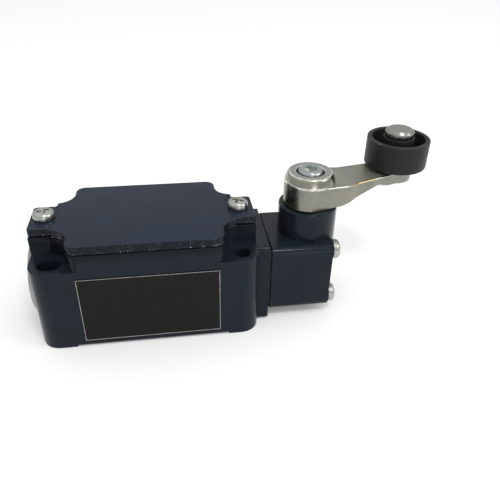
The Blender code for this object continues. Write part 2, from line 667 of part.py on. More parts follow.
def make_cover():
    """Cover, its gasket and its captive screws."""
    seat = bpy.data.objects.new("cover_seat", None)
    seat.location = (0, 0, COVER_Z)
    PARTS.objects.link(seat)
    plate = prism("cover", cover_outline(), 0, COVER_THICKNESS, parent=seat)
    part(plate, "cover", ENAMEL)
    for x, outward in zip(COVER_SCREW_X, (-1, 1)):
        middle = (x + outward * (TAB_STEP_R - TAB_STEP_REACH), 0)
        cut(plate, cylinder("tab_step", TAB_STEP_R, COVER_THICKNESS - TAB_STEP, COVER_THICKNESS + WALL,
                            (*middle, 0), segments=2 * ROUND, parent=seat))
        cut(plate, cylinder("screw_hole", M4_HOLE_R, -WALL, COVER_THICKNESS + WALL, (x, 0, 0),
                            segments=SMALL, parent=seat))
    head_z = TAB_TOP + SEAL_GAP
    for number, x in enumerate(COVER_SCREW_X, 1):
        pan_screw(f"cover_screw_{number}", ZINC, M4_HEAD_R, M4_HEAD_HEIGHT, M4_SHANK_R,
                  head_z - SHELL_HEIGHT + COVER_SCREW_DEPTH, (x, 0, head_z - COVER_Z), parent=seat)
    gasket = prism("cover_gasket", cross_outline(COVER_GASKET_EDGE), COVER_GASKET_Z,
                   COVER_GASKET_Z + COVER_GASKET_THICKNESS)
    part(gasket, "cover_gasket", RUBBER)
    cut(gasket, prism("opening", cross_outline(SEAL_GAP), LEDGE_HEIGHT, COVER_TOP))


def make_head():
    """Operating head, its gasket and its four screws."""
    half = HEAD_WIDTH / 2
    head = prism("head", rounded_rectangle(-half, half, HEAD_BOTTOM, HEAD_TOP, HEAD_CORNER_R,
                                           HEAD_CORNER_STEPS), HEAD_X0, HEAD_X1, "X")
    part(head, "head", ENAMEL)
    axis = (SHAFT_X, 0, 0)
    seat_x = HEAD_X1 + LUG_PROUD
    for y, z in HEAD_SCREWS:
        join(head, cylinder("lug", LUG_R, HEAD_X1 - LUG_LENGTH, seat_x, (0, y, z), "X", SMALL))
    join(head, cylinder("boss", BOSS_DIAMETER / 2, HEAD_BOTTOM + BULGE_RISE, BOSS_TOP, axis, segments=ROUND))
    for y, z in HEAD_SCREWS:
        cut(head, cylinder("counterbore", COUNTERBORE_R, seat_x, HEAD_X1 + BOSS_DIAMETER, (0, y, z), "X",
                           SMALL))
        cut(head, cylinder("screw_hole", M4_HOLE_R, HEAD_X0 - WALL, HEAD_X1 + WALL, (0, y, z), "X", SMALL))
    channel = ([(HEAD_X0 - WALL, CHAMBER_R), (HEAD_X0 - WALL, -CHAMBER_R)]
               + arc((SHAFT_X, 0), CHAMBER_R, -90, 90, ROUND // 2))
    cut(head, prism("cam_chamber", channel, CHAMBER_Z0, CHAMBER_Z1))
    cut(head, cylinder("bush_bore", BUSH_OUTER_R + SEAT_GAP, HEAD_AXIS_HEIGHT, BOSS_TOP + WALL, axis))
    cut(head, cylinder("pivot_hole", PIVOT_R + RUN_GAP, CHAMBER_Z0 - PIVOT_DEPTH, HEAD_AXIS_HEIGHT, axis,
                       segments=SMALL * 2))
    head_x = seat_x + SEAL_GAP
    for number, (y, z) in enumerate(HEAD_SCREWS, 1):
        pan_screw(f"head_screw_{number}", ZINC, M4_HEAD_R, M4_HEAD_HEIGHT, M4_SHANK_R,
                  head_x - FLANGE_X1 + HEAD_SCREW_DEPTH, (head_x, y, z), "X")
    edge = half - GASKET_INSET
    rim = rounded_rectangle(-edge, edge, HEAD_BOTTOM + GASKET_INSET, HEAD_TOP - GASKET_INSET,
                            HEAD_CORNER_R, HEAD_CORNER_STEPS)
    gasket = prism("head_gasket", rim, HEAD_GASKET_X, HEAD_GASKET_X + HEAD_GASKET_THICKNESS, "X")
    part(gasket, "head_gasket", RUBBER)
    cut(gasket, box("window", (FLANGE_X1 - WALL, -CHAMBER_R, CHAMBER_Z0),
                    (HEAD_X0 + WALL, CHAMBER_R, CHAMBER_Z1)))
    for y, z in HEAD_SCREWS:
        cut(gasket, cylinder("screw_hole", M4_HOLE_R, FLANGE_X1 - WALL, HEAD_X0 + WALL, (0, y, z), "X",
                             SMALL))


def make_bearing():
    """Bush and seal that hold the shaft in the head's boss."""
    axis = (SHAFT_X, 0, 0)

    def sleeve(name, low, high, finish):
        profile = [(BUSH_INNER_R, high), (BUSH_OUTER_R, high), (BUSH_OUTER_R, low), (BUSH_INNER_R, low)]
        part(turned(name, profile, axis, segments=BORE, ring=True), name, finish)

    sleeve("shaft_bush", BUSH_Z, BUSH_Z + BUSH_LENGTH, BRONZE)
    sleeve("shaft_seal", SHAFT_SEAL_Z, SHAFT_SEAL_Z + SEAL_LENGTH, RUBBER)


def cam_outline():
    """Snail cam whose radius grows evenly with angle where it faces the plunger."""
    reach = SWING + SWING_MARGIN
    points = []
    for index in range(ROUND):
        angle = 2 * math.pi * index / ROUND
        turn = math.pi - angle
        if abs(turn) <= reach:
            radius = CAM_MEAN_R + CAM_LEAD * turn
        else:
            share = (abs(turn) - reach) / (math.pi - reach)
            radius = CAM_MEAN_R + CAM_LEAD * reach * math.copysign(math.cos(share * math.pi / 2), turn)
        points.append((radius * math.cos(angle), radius * math.sin(angle)))
    return points


def make_shaft(pivot):
    """Shaft with its retaining clip, cam and cam pin."""
    groove_r = SHAFT_R - CLIP_GROOVE_DEPTH
    clip_z1 = BUSH_Z - SEAT_GAP
    clip_z0 = clip_z1 - CLIP_THICKNESS
    groove = (clip_z0 - SEAL_GAP, clip_z1 + SEAL_GAP)
    shoulder = groove[0] - CLIP_THICKNESS / 2
    thread_r = LEVER_SCREW_R + SEAT_GAP
    thread_end = LEVER_SCREW_END - SEAT_GAP
    pivot_end = CHAMBER_Z0 - PIVOT_DEPTH + PIVOT_END_GAP
    profile = [(0, thread_end), (thread_r, thread_end), (thread_r, SHAFT_TOP), (SHAFT_R, SHAFT_TOP),
               (SHAFT_R, groove[1]), (groove_r, groove[1]), (groove_r, groove[0]), (SHAFT_R, groove[0]),
               (SHAFT_R, shoulder), (PIVOT_R, shoulder), (PIVOT_R, pivot_end), (0, pivot_end)]
    shaft = part(turned("shaft", profile, segments=BORE, parent=pivot), "shaft", STEEL)
    across = (0, 0, CAM_PIN_Z)
    pin_hole_r = CAM_PIN_R + SEAT_GAP
    cut(shaft, cylinder("pin_hole", pin_hole_r, -SHAFT_R, SHAFT_R, across, "Y", SMALL, pivot))

    clip_r = groove_r + SEAL_GAP
    half = math.degrees(CLIP_OPENING) / 2
    outline = (arc((0, 0), clip_r + CLIP_WIDTH, half, 360 - half, 20)
               + arc((0, 0), clip_r, 360 - half, half, 20))
    part(prism("shaft_clip", outline, clip_z0, clip_z1, parent=pivot), "shaft_clip", STEEL)

    cam = part(prism("cam", cam_outline(), CAM_Z0, CAM_Z1, parent=pivot), "cam", STEEL)
    join(cam, cylinder("cam_hub", CAM_HUB_R, CAM_Z1 - CAM_HUB_ROOT, CAM_Z1 + CAM_HUB_HEIGHT, parent=pivot))
    cut(cam, cylinder("cam_bore", PIVOT_R + SEAT_GAP, CAM_Z0 - WALL, BUSH_Z, parent=pivot))
    cut(cam, cylinder("pin_hole", pin_hole_r, -CAM_HUB_R - WALL, CAM_HUB_R + WALL, across, "Y", SMALL, pivot))
    pin = cylinder("cam_pin", CAM_PIN_R, -CAM_HUB_R, CAM_HUB_R, across, "Y", SMALL, pivot)
    part(pin, "cam_pin", STEEL)


def arm_plan():
    """The lever arm from above: flanks beside the hub, a waist and a round end that stands proud."""
    half = (arc((LEVER_LENGTH, 0), EYE_R, 0, EYE_WRAP, 15)
            + [(WAIST_X, WAIST_HALF_WIDTH), (FLANK_LENGTH, FLANK_HALF_WIDTH), (0, FLANK_HALF_WIDTH)])
    return half + mirrored(reversed(half[1:]), 1, -1)


def arm_side():
    """The lever arm from the side: a slightly hollow top, and an underside that rises to the eye."""
    beyond = LEVER_LENGTH + 2 * EYE_R
    flank_top = HUB_EDGE_Z - ARM_DROP
    waist_top = HUB_EDGE_Z - WAIST_DROP
    slope_top = waist_top + (EYE_TOP - waist_top) * (SLOPE_END - WAIST_X) / (EYE_FLAT - WAIST_X)
    return [(-HUB_R, HUB_Z + SEAL_GAP), (SLOPE_START, HUB_Z + SEAL_GAP),
            (SLOPE_END, slope_top - ARM_THICKNESS), (EYE_FLAT, EYE_BOTTOM), (beyond, EYE_BOTTOM),
            (beyond, EYE_TOP), (EYE_FLAT, EYE_TOP), (WAIST_X, waist_top), (FLANK_LENGTH, flank_top),
            (0, HUB_EDGE_Z), (-HUB_R, HUB_EDGE_Z)]


def flat_side():
    """A flat on the lever's flank from the side, up to the lip that follows the arm's top."""
    below = HUB_Z - WALL
    return [(-HUB_R, below), (WAIST_X, below), (WAIST_X, HUB_EDGE_Z - WAIST_DROP - FLAT_LIP),
            (FLANK_LENGTH, HUB_EDGE_Z - ARM_DROP - FLAT_LIP), (0, HUB_EDGE_Z - FLAT_LIP),
            (-HUB_R, HUB_EDGE_Z - FLAT_LIP)]


def make_lever(pivot):
    """Lever arm with its clamping screw and serrated washer."""
    arm = prism("lever_arm", arm_plan(), HUB_Z - WALL, HUB_TOP + WALL, parent=pivot)
    part(arm, "lever_arm", DIECAST)
    side = prism("arm_side", arm_side(), -2 * HUB_R, 2 * HUB_R, "Y", pivot)
    boolean(arm, side, "INTERSECT")
    hub = [(0, HUB_TOP), (HUB_RING_R, HUB_TOP), (HUB_SHOULDER_R, HUB_TOP - HUB_RING_BEVEL),
           (HUB_R, HUB_EDGE_Z), (HUB_R, HUB_Z), (0, HUB_Z)]
    join(arm, turned("hub", hub, parent=pivot))
    for low, high in ((FLAT_HALF_WIDTH, 2 * HUB_R), (-2 * HUB_R, -FLAT_HALF_WIDTH)):
        cut(arm, prism("flat", flat_side(), low, high, "Y", pivot))
    cut(arm, cylinder("shaft_bore", SHAFT_R + SEAT_GAP, HUB_Z - WALL, SHAFT_TOP + SEAT_GAP, parent=pivot))
    cut(arm, cylinder("screw_hole", LEVER_SCREW_R + SEAT_GAP, HUB_Z, HUB_TOP, segments=SMALL, parent=pivot))
    cut(arm, cylinder("recess", HUB_RECESS_R, RECESS_Z, HUB_TOP + WALL, parent=pivot))
    cut(arm, cylinder("pin_hole", ROLLER_PIN_R + SEAT_GAP, EYE_BOTTOM - WALL, EYE_TOP + WALL,
                      (LEVER_LENGTH, 0, 0), parent=pivot))

    inner = LEVER_SCREW_R + SEAT_GAP
    high = LEVER_WASHER_Z + LEVER_WASHER_THICKNESS
    washer = [(inner, high), (LEVER_WASHER_R, high), (LEVER_WASHER_R, LEVER_WASHER_Z),
              (inner, LEVER_WASHER_Z)]
    part(turned("lever_washer", washer, segments=BORE, ring=True, parent=pivot), "lever_washer", STEEL)

    top = LEVER_HEAD_Z + LEVER_SCREW_HEAD_HEIGHT
    head = [(0, top), (LEVER_SCREW_HEAD_R - LEVER_SCREW_BEVEL, top),
            (LEVER_SCREW_HEAD_R, top - LEVER_SCREW_BEVEL), (LEVER_SCREW_HEAD_R, LEVER_HEAD_Z),
            (LEVER_SCREW_R, LEVER_HEAD_Z), (LEVER_SCREW_R, LEVER_SCREW_END), (0, LEVER_SCREW_END)]
    screw = part(turned("lever_screw", head, segments=BORE, parent=pivot), "lever_screw", ZINC)
    socket_r = SOCKET_ACROSS_FLATS / math.sqrt(3)
    cut(screw, cylinder("socket", socket_r, top - SOCKET_DEPTH, top + WALL, segments=6, parent=pivot))


def make_roller(pivot):
    """Roller, the pin it turns on and the washer under it, round the roller's own axis."""
    bore = ROLLER_PIN_R + RUN_GAP
    rim = ROLLER_R - ROLLER_RIM
    web = ROLLER_Z + ROLLER_WEB
    profile = [(bore, ROLLER_HUB_TOP), (ROLLER_HUB_R, ROLLER_HUB_TOP), (ROLLER_HUB_R, web), (rim, web),
               (rim, ROLLER_TOP), (ROLLER_R - ROLLER_CHAMFER / 2, ROLLER_TOP),
               (ROLLER_R, ROLLER_TOP - ROLLER_CHAMFER / 2), (ROLLER_R, ROLLER_Z + ROLLER_CHAMFER),
               (ROLLER_R - ROLLER_CHAMFER, ROLLER_Z), (bore, ROLLER_Z)]
    part(turned("roller", profile, ring=True, parent=pivot), "roller", ROLLER_PLASTIC)

    head_z = ROLLER_HUB_TOP + RUN_GAP
    head_top = head_z + PIN_HEAD_HEIGHT
    foot_z = EYE_BOTTOM - SEAT_GAP
    pin = [(0, head_top), (PIN_HEAD_R - PIN_HEAD_BEVEL, head_top), (PIN_HEAD_R, head_top - PIN_HEAD_BEVEL),
           (PIN_HEAD_R, head_z), (ROLLER_PIN_R, head_z), (ROLLER_PIN_R, foot_z), (PIN_FOOT_R, foot_z),
           (PIN_FOOT_R, foot_z - PIN_FOOT_HEIGHT / 2), (PIN_FOOT_R * 0.75, foot_z - PIN_FOOT_HEIGHT),
           (0, foot_z - PIN_FOOT_HEIGHT)]
    part(turned("roller_pin", pin, segments=BORE, parent=pivot), "roller_pin", ZINC)

    high = ROLLER_WASHER_Z + ROLLER_WASHER_THICKNESS
    inner = ROLLER_PIN_R + SEAT_GAP
    washer = [(inner, high), (ROLLER_WASHER_R, high), (ROLLER_WASHER_R, ROLLER_WASHER_Z),
              (inner, ROLLER_WASHER_Z)]
    part(turned("roller_washer", washer, segments=BORE, ring=True, parent=pivot), "roller_washer", STEEL)


def make_plunger(slide):
    """Plunger between the cam and the contact carrier, with its guide, seal and spring."""
    tail = CARRIER_X1 + SEAT_GAP
    nose = [(PLUNGER_R * math.sin(angle), NOSE_X - PLUNGER_R + PLUNGER_R * math.cos(angle))
            for angle in (index * math.pi / 12 for index in range(7))]
    profile = nose + [(PLUNGER_R, COLLAR_X1), (PLUNGER_COLLAR_R, COLLAR_X1), (PLUNGER_COLLAR_R, COLLAR_X0),
                      (PLUNGER_R, COLLAR_X0), (PLUNGER_R, tail), (0, tail)]
    part(turned("plunger", profile, along="X", segments=24, parent=slide), "plunger", STEEL)

    axis = (0, 0, HEAD_AXIS_HEIGHT)
    inner = PLUNGER_R + RUN_GAP
    outer = PASSAGE_R - SEAT_GAP
    sleeves = (("plunger_seal", PLUNGER_SEAL_X, PLUNGER_SEAL_X + PLUNGER_SEAL_LENGTH, RUBBER),
               ("plunger_guide", GUIDE_X, GUIDE_X1, BRASS))
    for name, low, high, finish in sleeves:
        ring = [(inner, high), (outer, high), (outer, low), (inner, low)]
        part(turned(name, ring, axis, "X", 24, ring=True), name, finish)

    start = GUIDE_X1 + SEAT_GAP
    spring = coil("plunger_spring", PLUNGER_SPRING_R, PLUNGER_SPRING_WIRE, COLLAR_X0 - SEAT_GAP - start)
    spring.location = (start, 0, HEAD_AXIS_HEIGHT)
    part(spring, "plunger_spring", STEEL)


def make_carrier(slide):
    """Contact carrier with its two bridges, their springs and its own return spring."""
    half_y = CARRIER_WIDTH / 2
    half_z = CARRIER_HEIGHT / 2
    carrier = box("contact_carrier", (CARRIER_X0, -half_y, -half_z), (CARRIER_X1, half_y, half_z), slide)
    part(carrier, "contact_carrier", CARRIER_PLASTIC)
    window_z = BRIDGE_HEIGHT / 2 + SEAT_GAP
    for number, side in enumerate(CONTACT_SIDES, 1):
        centre_wall = INSERT_MIDDLE - side.inward * WINDOW_WALL / 2
        window = sorted((side.bridge_tip, centre_wall))
        cut(carrier, box("window", (window[0], -CARRIER_WIDTH, -window_z),
                         (window[1], CARRIER_WIDTH, window_z), slide))
        span = sorted((side.bridge_outer, side.bridge_inner))
        bridge = box("bridge", (span[0], -BRIDGE_LENGTH / 2, -BRIDGE_HEIGHT / 2),
                     (span[1], BRIDGE_LENGTH / 2, BRIDGE_HEIGHT / 2), slide)
        part(bridge, f"contact_bridge_{number}", SILVER)
        tip = sorted((side.bridge_tip, side.bridge_outer + side.inward * BRIDGE_THICKNESS / 2))
        for y in (-CONTACT_TIP_Y, CONTACT_TIP_Y):
            join(bridge, cylinder("tip", CONTACT_TIP_R, *tip, (0, y, 0), "X", SMALL, slide))
        start, end = sorted((side.bridge_inner + side.inward * SEAT_GAP,
                             centre_wall - side.inward * SEAT_GAP))
        spring = coil(f"contact_spring_{number}", CONTACT_SPRING_R, CONTACT_SPRING_WIRE, end - start)
        spring.parent = slide
        spring.location = (start, 0, 0)
        part(spring, spring.name, STEEL)
    pocket_x1 = CABLE_SIDE.bridge_tip - WINDOW_WALL
    spring_bore = CARRIER_SPRING_R + CARRIER_SPRING_WIRE / 2 + RUN_GAP
    cut(carrier, cylinder("spring_pocket", spring_bore, CARRIER_X0 - WALL, pocket_x1, along="X",
                          segments=SMALL, parent=slide))

    start = SLIDEWAY_X0 + SEAT_GAP
    spring = coil("carrier_spring", CARRIER_SPRING_R, CARRIER_SPRING_WIRE, pocket_x1 - SEAT_GAP - start)
    spring.location = (start, 0, HEAD_AXIS_HEIGHT)
    part(spring, "carrier_spring", STEEL)


def make_insert():
    """Insulating switch insert with its fixed contacts, terminals, lid and screws."""
    base = box("contact_base", (INSERT_X0, -INSERT_HALF, INSERT_Z0), (INSERT_X1, INSERT_HALF, INSERT_TOP))
    part(base, "contact_base", INSERT_PLASTIC)
    above = INSERT_TOP + WALL
    cut(base, box("slideway", (SLIDEWAY_X0, -SLIDEWAY_HALF, SLIDEWAY_Z),
                  (INSERT_X1 + WALL, SLIDEWAY_HALF, above)))
    screw_places = []
    leg_z = TERMINAL_TOP - TERMINAL_LEG_DEPTH
    for side in CONTACT_SIDES:
        slot_x = sorted((side.leg_outer - side.inward * SEAT_GAP, side.slot_inner))
        cut(base, box("contact_slot", (slot_x[0], -CONTACT_SLOT_Y, leg_z - SEAT_GAP),
                      (slot_x[1], CONTACT_SLOT_Y, above)))
        for y_sign in (-1, 1):
            across = sorted((y_sign * TERMINAL_INNER, y_sign * (TERMINAL_INNER + TERMINAL_WIDTH)))
            plate = sorted((side.plate_outer, side.plate_inner))
            leg = sorted((side.leg_outer, side.plate_inner))
            screw_places.append((side.screw, y_sign * TERMINAL_Y))
            strip = box("strip", (plate[0], across[0], TERMINAL_Z), (plate[1], across[1], TERMINAL_TOP))
            part(strip, f"fixed_contact_{len(screw_places)}", BRASS)
            join(strip, box("leg", (leg[0], across[0], leg_z),
                            (leg[1], across[1], TERMINAL_TOP - TERMINAL_THICKNESS / 2)))
            tip = sorted((side.fixed_tip, side.plate_inner - side.inward * TERMINAL_THICKNESS / 2))
            centre = (0, y_sign * CONTACT_TIP_Y, HEAD_AXIS_HEIGHT)
            join(strip, cylinder("tip", CONTACT_TIP_R, *tip, centre, "X", SMALL))
            place = (side.screw, y_sign * TERMINAL_Y, 0)
            cut(strip, cylinder("screw_hole", TERMINAL_HOLE_R, TERMINAL_Z - WALL, TERMINAL_TOP + WALL, place,
                                segments=SMALL))
            cut(base, cylinder("terminal_hole", TERMINAL_HOLE_R, INSERT_TOP - TERMINAL_SCREW_DEPTH - SEAT_GAP,
                               above, place, segments=SMALL))
    make_terminals(screw_places)
    make_lid_and_screws(base, above)


def make_terminals(screw_places):
    """Clamping plates and screws of the four terminals."""
    clamp_z = TERMINAL_TOP + SEAL_GAP
    clamp_top = clamp_z + CLAMP_THICKNESS
    head_z = clamp_top + SEAL_GAP
    half = CLAMP_SIZE / 2
    for number, (x, y) in enumerate(screw_places, 1):
        clamp = box("clamp", (x - half, y - half, clamp_z), (x + half, y + half, clamp_top))
        part(clamp, f"terminal_clamp_{number}", ZINC)
        cut(clamp, cylinder("screw_hole", TERMINAL_HOLE_R, clamp_z - WALL, clamp_top + WALL, (x, y, 0),
                            segments=SMALL))
        pan_screw(f"terminal_screw_{number}", ZINC, TERMINAL_HEAD_R, TERMINAL_HEAD_HEIGHT, TERMINAL_SCREW_R,
                  head_z - INSERT_TOP + TERMINAL_SCREW_DEPTH, (x, y, head_z))


def make_lid_and_screws(base, above):
    """Lid over the moving contacts, and the screws that hold the insert to the housing's floor."""
    lid_x0 = CABLE_SIDE.plate_inner + SEAT_GAP
    lid_x1 = HEAD_SIDE.plate_inner - SEAT_GAP
    lid_top = TERMINAL_Z + LID_THICKNESS
    lid = box("contact_lid", (lid_x0, -INSERT_HALF, TERMINAL_Z), (lid_x1, INSERT_HALF, lid_top))
    part(lid, "contact_lid", CARRIER_PLASTIC)
    access_r = INSERT_SCREW_HEAD_R + SEAT_GAP
    places = [(INSERT_MIDDLE, y, 0) for y in (-INSERT_SCREW_Y, INSERT_SCREW_Y)]
    head_z = INSERT_SCREW_SEAT_Z + SEAL_GAP
    for number, place in enumerate(places, 1):
        cut(lid, cylinder("access", access_r, TERMINAL_Z - WALL, lid_top + WALL, place, segments=SMALL))
        cut(base, cylinder("access", access_r, INSERT_SCREW_SEAT_Z, above, place, segments=SMALL))
        cut(base, cylinder("insert_hole", INSERT_SCREW_R + SEAT_GAP, INSERT_Z0 - WALL, above, place,
                           segments=SMALL))
        pan_screw(f"insert_screw_{number}", ZINC, INSERT_SCREW_HEAD_R, INSERT_SCREW_HEAD_HEIGHT,
                  INSERT_SCREW_R, head_z - FLOOR + INSERT_SCREW_DEPTH - SEAT_GAP, (*place[:2], head_z))


def make_earth_terminal():
    """Clamp washer and screw of the protective earth."""
    low = EARTH_TOP + SEAL_GAP
    high = low + EARTH_CLAMP_THICKNESS
    ring = [(M4_HOLE_R, high), (EARTH_CLAMP_R, high), (EARTH_CLAMP_R, low), (M4_HOLE_R, low)]
    part(turned("earth_clamp", ring, (*EARTH, 0), segments=24, ring=True), "earth_clamp", BRASS)
    head_z = high + SEAL_GAP
    pan_screw("earth_screw", BRASS, M4_HEAD_R, M4_HEAD_HEIGHT, M4_SHANK_R,
              head_z - EARTH_TOP + EARTH_SCREW_DEPTH, (*EARTH, head_z))


def empty(name, place, turn=0.0, parent=None):
    """A joint's axis."""
    made = bpy.data.objects.new(name, None)
    made.location = place
    made.rotation_euler = (0, 0, turn)
    made.parent = parent
    PARTS.objects.link(made)
    return made


shaft_pivot = empty("shaft_pivot", (SHAFT_X, 0, 0))
lever_pivot = empty("lever_pivot", (0, 0, 0), LEVER_ANGLE, shaft_pivot)
roller_pivot = empty("roller_pivot", (LEVER_LENGTH, 0, 0), parent=lever_pivot)
plunger_axis = empty("plunger_axis", (0, 0, HEAD_AXIS_HEIGHT))

make_housing()
make_rating_plate()
make_cover()
make_head()
make_bearing()
make_shaft(shaft_pivot)
make_lever(lever_pivot)
make_roller(roller_pivot)
make_plunger(plunger_axis)
make_carrier(plunger_axis)
make_insert()
make_earth_terminal()
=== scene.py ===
"""Looks of the limit switch: finishes, rounded edges, screw recesses, threads, camera and light.

Metres, in the CAD model's frame: +X from the cable entry to the head, +Z out of the cover.
"""
import json
import math
from collections import namedtuple

import bmesh
import bpy
from mathutils import Matrix, Vector
from mathutils.geometry import intersect_line_line_2d, intersect_point_line


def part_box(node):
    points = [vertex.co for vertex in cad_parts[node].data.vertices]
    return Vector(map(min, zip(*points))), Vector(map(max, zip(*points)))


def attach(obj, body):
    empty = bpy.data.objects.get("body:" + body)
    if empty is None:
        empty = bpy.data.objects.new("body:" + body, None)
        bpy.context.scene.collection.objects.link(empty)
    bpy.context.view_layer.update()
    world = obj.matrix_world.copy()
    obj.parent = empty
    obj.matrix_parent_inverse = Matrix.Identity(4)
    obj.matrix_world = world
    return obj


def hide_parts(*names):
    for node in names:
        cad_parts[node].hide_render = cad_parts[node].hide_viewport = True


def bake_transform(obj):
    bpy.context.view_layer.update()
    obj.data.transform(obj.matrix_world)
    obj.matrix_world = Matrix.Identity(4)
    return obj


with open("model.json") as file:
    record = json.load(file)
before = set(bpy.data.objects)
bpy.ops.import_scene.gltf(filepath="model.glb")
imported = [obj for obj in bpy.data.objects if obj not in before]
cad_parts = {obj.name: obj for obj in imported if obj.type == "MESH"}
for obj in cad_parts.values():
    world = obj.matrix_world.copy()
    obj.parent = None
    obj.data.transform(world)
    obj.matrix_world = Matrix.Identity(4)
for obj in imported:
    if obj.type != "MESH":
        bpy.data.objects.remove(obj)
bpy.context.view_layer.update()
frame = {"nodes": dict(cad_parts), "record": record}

MM = 0.001

# View
CAMERA_TARGET = Vector((35.06, 0.60, 20.0)) * MM
CAMERA_DISTANCE = 191.85 * MM
CAMERA_AZIMUTH = math.radians(-9.70)
CAMERA_ELEVATION = math.radians(33.21)
CAMERA_ROLL = math.radians(1.45)
CAMERA_LENS = 38.70
CAMERA_SENSOR = 36.0
CAMERA_NEAR = 1 * MM

# Light and stage
SKY_LOW = 0.52
SKY_HIGH = 0.95
SKY_TOP = 0.75
FLOOR_SIZE = 6.0
FLOOR_DROP = 0.05 * MM
FLOOR_COLOUR = (0.86, 0.86, 0.86, 1)
FLOOR_ROUGHNESS = 0.9
FLOOR_LIFT = 0.13
WHITE = (1, 1, 1, 1)

# Softboxes: name, place, aim, width and power
SOFTBOXES = (
    ("key", (0.17, -0.38, 0.81), (0.03, 0, 0.02), 0.16, 2.0),
    ("fill", (0.60, -0.25, 0.42), (0.05, 0, 0.03), 0.30, 1.0),
    ("front", (0.19, -0.95, 0.125), (0.05, 0, 0.04), 0.30, 0.6),
)

# Housing
COLLAR_PROUD = 1.8 * MM
ENTRY_HEIGHT = 16.5 * MM
ENTRY_AXIS = (0, 0, ENTRY_HEIGHT)
ENTRY_R = 10.0 * MM
WALL = 3.0 * MM
LEDGE_HEIGHT = 29.6 * MM
FLOOR_THICKNESS = 3.0 * MM
CAVITY_HALF_X = 21.0 * MM

# Thread in the cable entry
THREAD_PITCH = 1.5 * MM
THREAD_DEPTH = 0.8 * MM
THREAD_CLEARANCE = 0.06 * MM
THREAD_SKIN = 0.1 * MM
THREAD_MOUTH = 1.0 * MM

# Frame line of the rating plate
FRAME_LINE_WIDTH = 0.26 * MM
FRAME_LINE_INSET = 0.12 * MM
FRAME_LINE_RAISE = 0.03 * MM

# Screw sizes (head height, shank radius and thread pitch), the shank's plain ends, and turns in radians
ScrewSize = namedtuple("ScrewSize", "head shank pitch")
M4 = ScrewSize(2.6 * MM, 1.8 * MM, 0.7 * MM)
M3 = ScrewSize(1.8 * MM, 1.3 * MM, 0.5 * MM)
M25 = ScrewSize(1.6 * MM, 1.1 * MM, 0.45 * MM)
SCREW_NECK = 0.4 * MM
SCREW_THREAD_START = 0.5 * MM
SCREW_TIP_BEVEL = 0.2 * MM
SCREW_TURNS = (0.35, 1.1, 0.8, 1.3)

# A thread's ridge, as shares of the pitch: half its crest, half its foot and its depth on a screw
RIDGE_CREST = 0.08
RIDGE_FOOT = 0.45
RIDGE_DEPTH = 0.3

# A pan head from its middle to its seat, as shares of its radius and height, and the shank's tip
PAN_HEAD = ((0, 1), (0.55, 0.98), (0.78, 0.91), (0.92, 0.76), (1, 0.52), (1, 0.05), (0.97, 0))
TIP_SHOULDER = 0.7
TIP_END = 0.4

# Cross recess and the square hollow in its middle, as shares of the head's radius and height
CROSS_REACH = 0.70
CROSS_WIDTH = 0.29
CROSS_FLOOR = 0.30
CROSS_TAPER = 0.40
HOLLOW_WIDTH = 0.55
HOLLOW_FLOOR = 0.45
HOLLOW_TAPER = 0.5
CUTTER_TOP = 1.2

# Lever
HUB_R = 8.6 * MM
HUB_HEIGHT = 8.3 * MM
EYE_R = 6.4 * MM
BEND_REACH = 1.6 * MM
BEND_SEGMENTS = 4
LEAST_BEND = math.radians(5)
LEAST_CREASE = math.radians(17)
LIP_LOW = 1.0 * MM
LIP_HIGH = 2.6 * MM

# Lever screw and its washer
LEVER_SCREW_HEAD = 2.0 * MM
LEVER_SCREW_BEVEL_IN = 0.6 * MM
LEVER_SCREW_BEVEL_DOWN = 0.7 * MM
LEVER_SCREW_SOFTNESS = 0.35 * MM
LEVER_SCREW_SHANK_R = 2.3 * MM
LEVER_SCREW_NECK = 1.2 * MM
LEVER_SCREW_THREAD_START = 1.5 * MM
LEVER_SCREW_PITCH = 0.8 * MM
LEVER_SCREW_THREAD_DEPTH = 0.25 * MM
LEVER_SCREW_TIP = 0.5 * MM
LEVER_SCREW_TURN = 0.4
WASHER_BORE_R = 2.6 * MM
WASHER_TEETH = 24
WASHER_TOOTH = 0.5 * MM

# The lever screw's socket, with its reach and the lead-in's width as shares of the flats
SOCKET_ACROSS_FLATS = 4.0 * MM
SOCKET_DEPTH = 1.2 * MM
SOCKET_TAPER = 0.99
SOCKET_REACH = 0.6
LEAD_IN_WIDTH = 1.20
LEAD_IN_DEPTH = 0.30 * MM
LEAD_IN_TAPER = 0.66
LEAD_IN_SIDES = 24

# Roller, its pin and its washer
ROLLER_BORE_R = 3.3 * MM
ROLLER_HUB_R = 5.4 * MM
ROLLER_HUB_PROUD = 0.4 * MM
ROLLER_HUB_DRAFT = 0.2 * MM
ROLLER_RIM = 1.7 * MM
ROLLER_RIM_DRAFT = 0.25 * MM
ROLLER_WEB = 3.1 * MM
ROLLER_BEVEL_UP = 0.4 * MM
ROLLER_BEVEL_IN = 0.7 * MM
ROLLER_SOFTNESS = 0.4 * MM
# Band at the rim's top edge that is worn paler; the paler colour is also a painted highlight
RUBBED_HIGHLIT_DOWN = 0.35 * MM
RUBBED_HIGHLIT_IN = 0.4 * MM
PIN_R = 3.0 * MM
PIN_HEAD = 2.4 * MM
PIN_BEVEL = 0.9 * MM
PIN_FOOT_R = 4.1 * MM
PIN_FOOT = 0.9 * MM
PIN_SOFTNESS = 0.14 * MM
ROLLER_WASHER_SOFTNESS = 0.12 * MM

# The pin's riveted end from its rim to its middle, as shares of its foot's radius and height
PIN_END = ((1, 0.5), (0.72, 0), (0.3, 0.12), (0, 0.2))

# Turned and cut pieces
ROUND = 96
SMALL_ROUND = 48
TURNED_MERGE = 0.0005 * MM
SOFT_STEPS = 4
SOFT_SHARE = 0.45
RIDGE_SHARP = math.radians(30)
CUT_SHARP = math.radians(38)
ROLLER_SHARP = math.radians(40)
COIL_SHARP = math.radians(60)

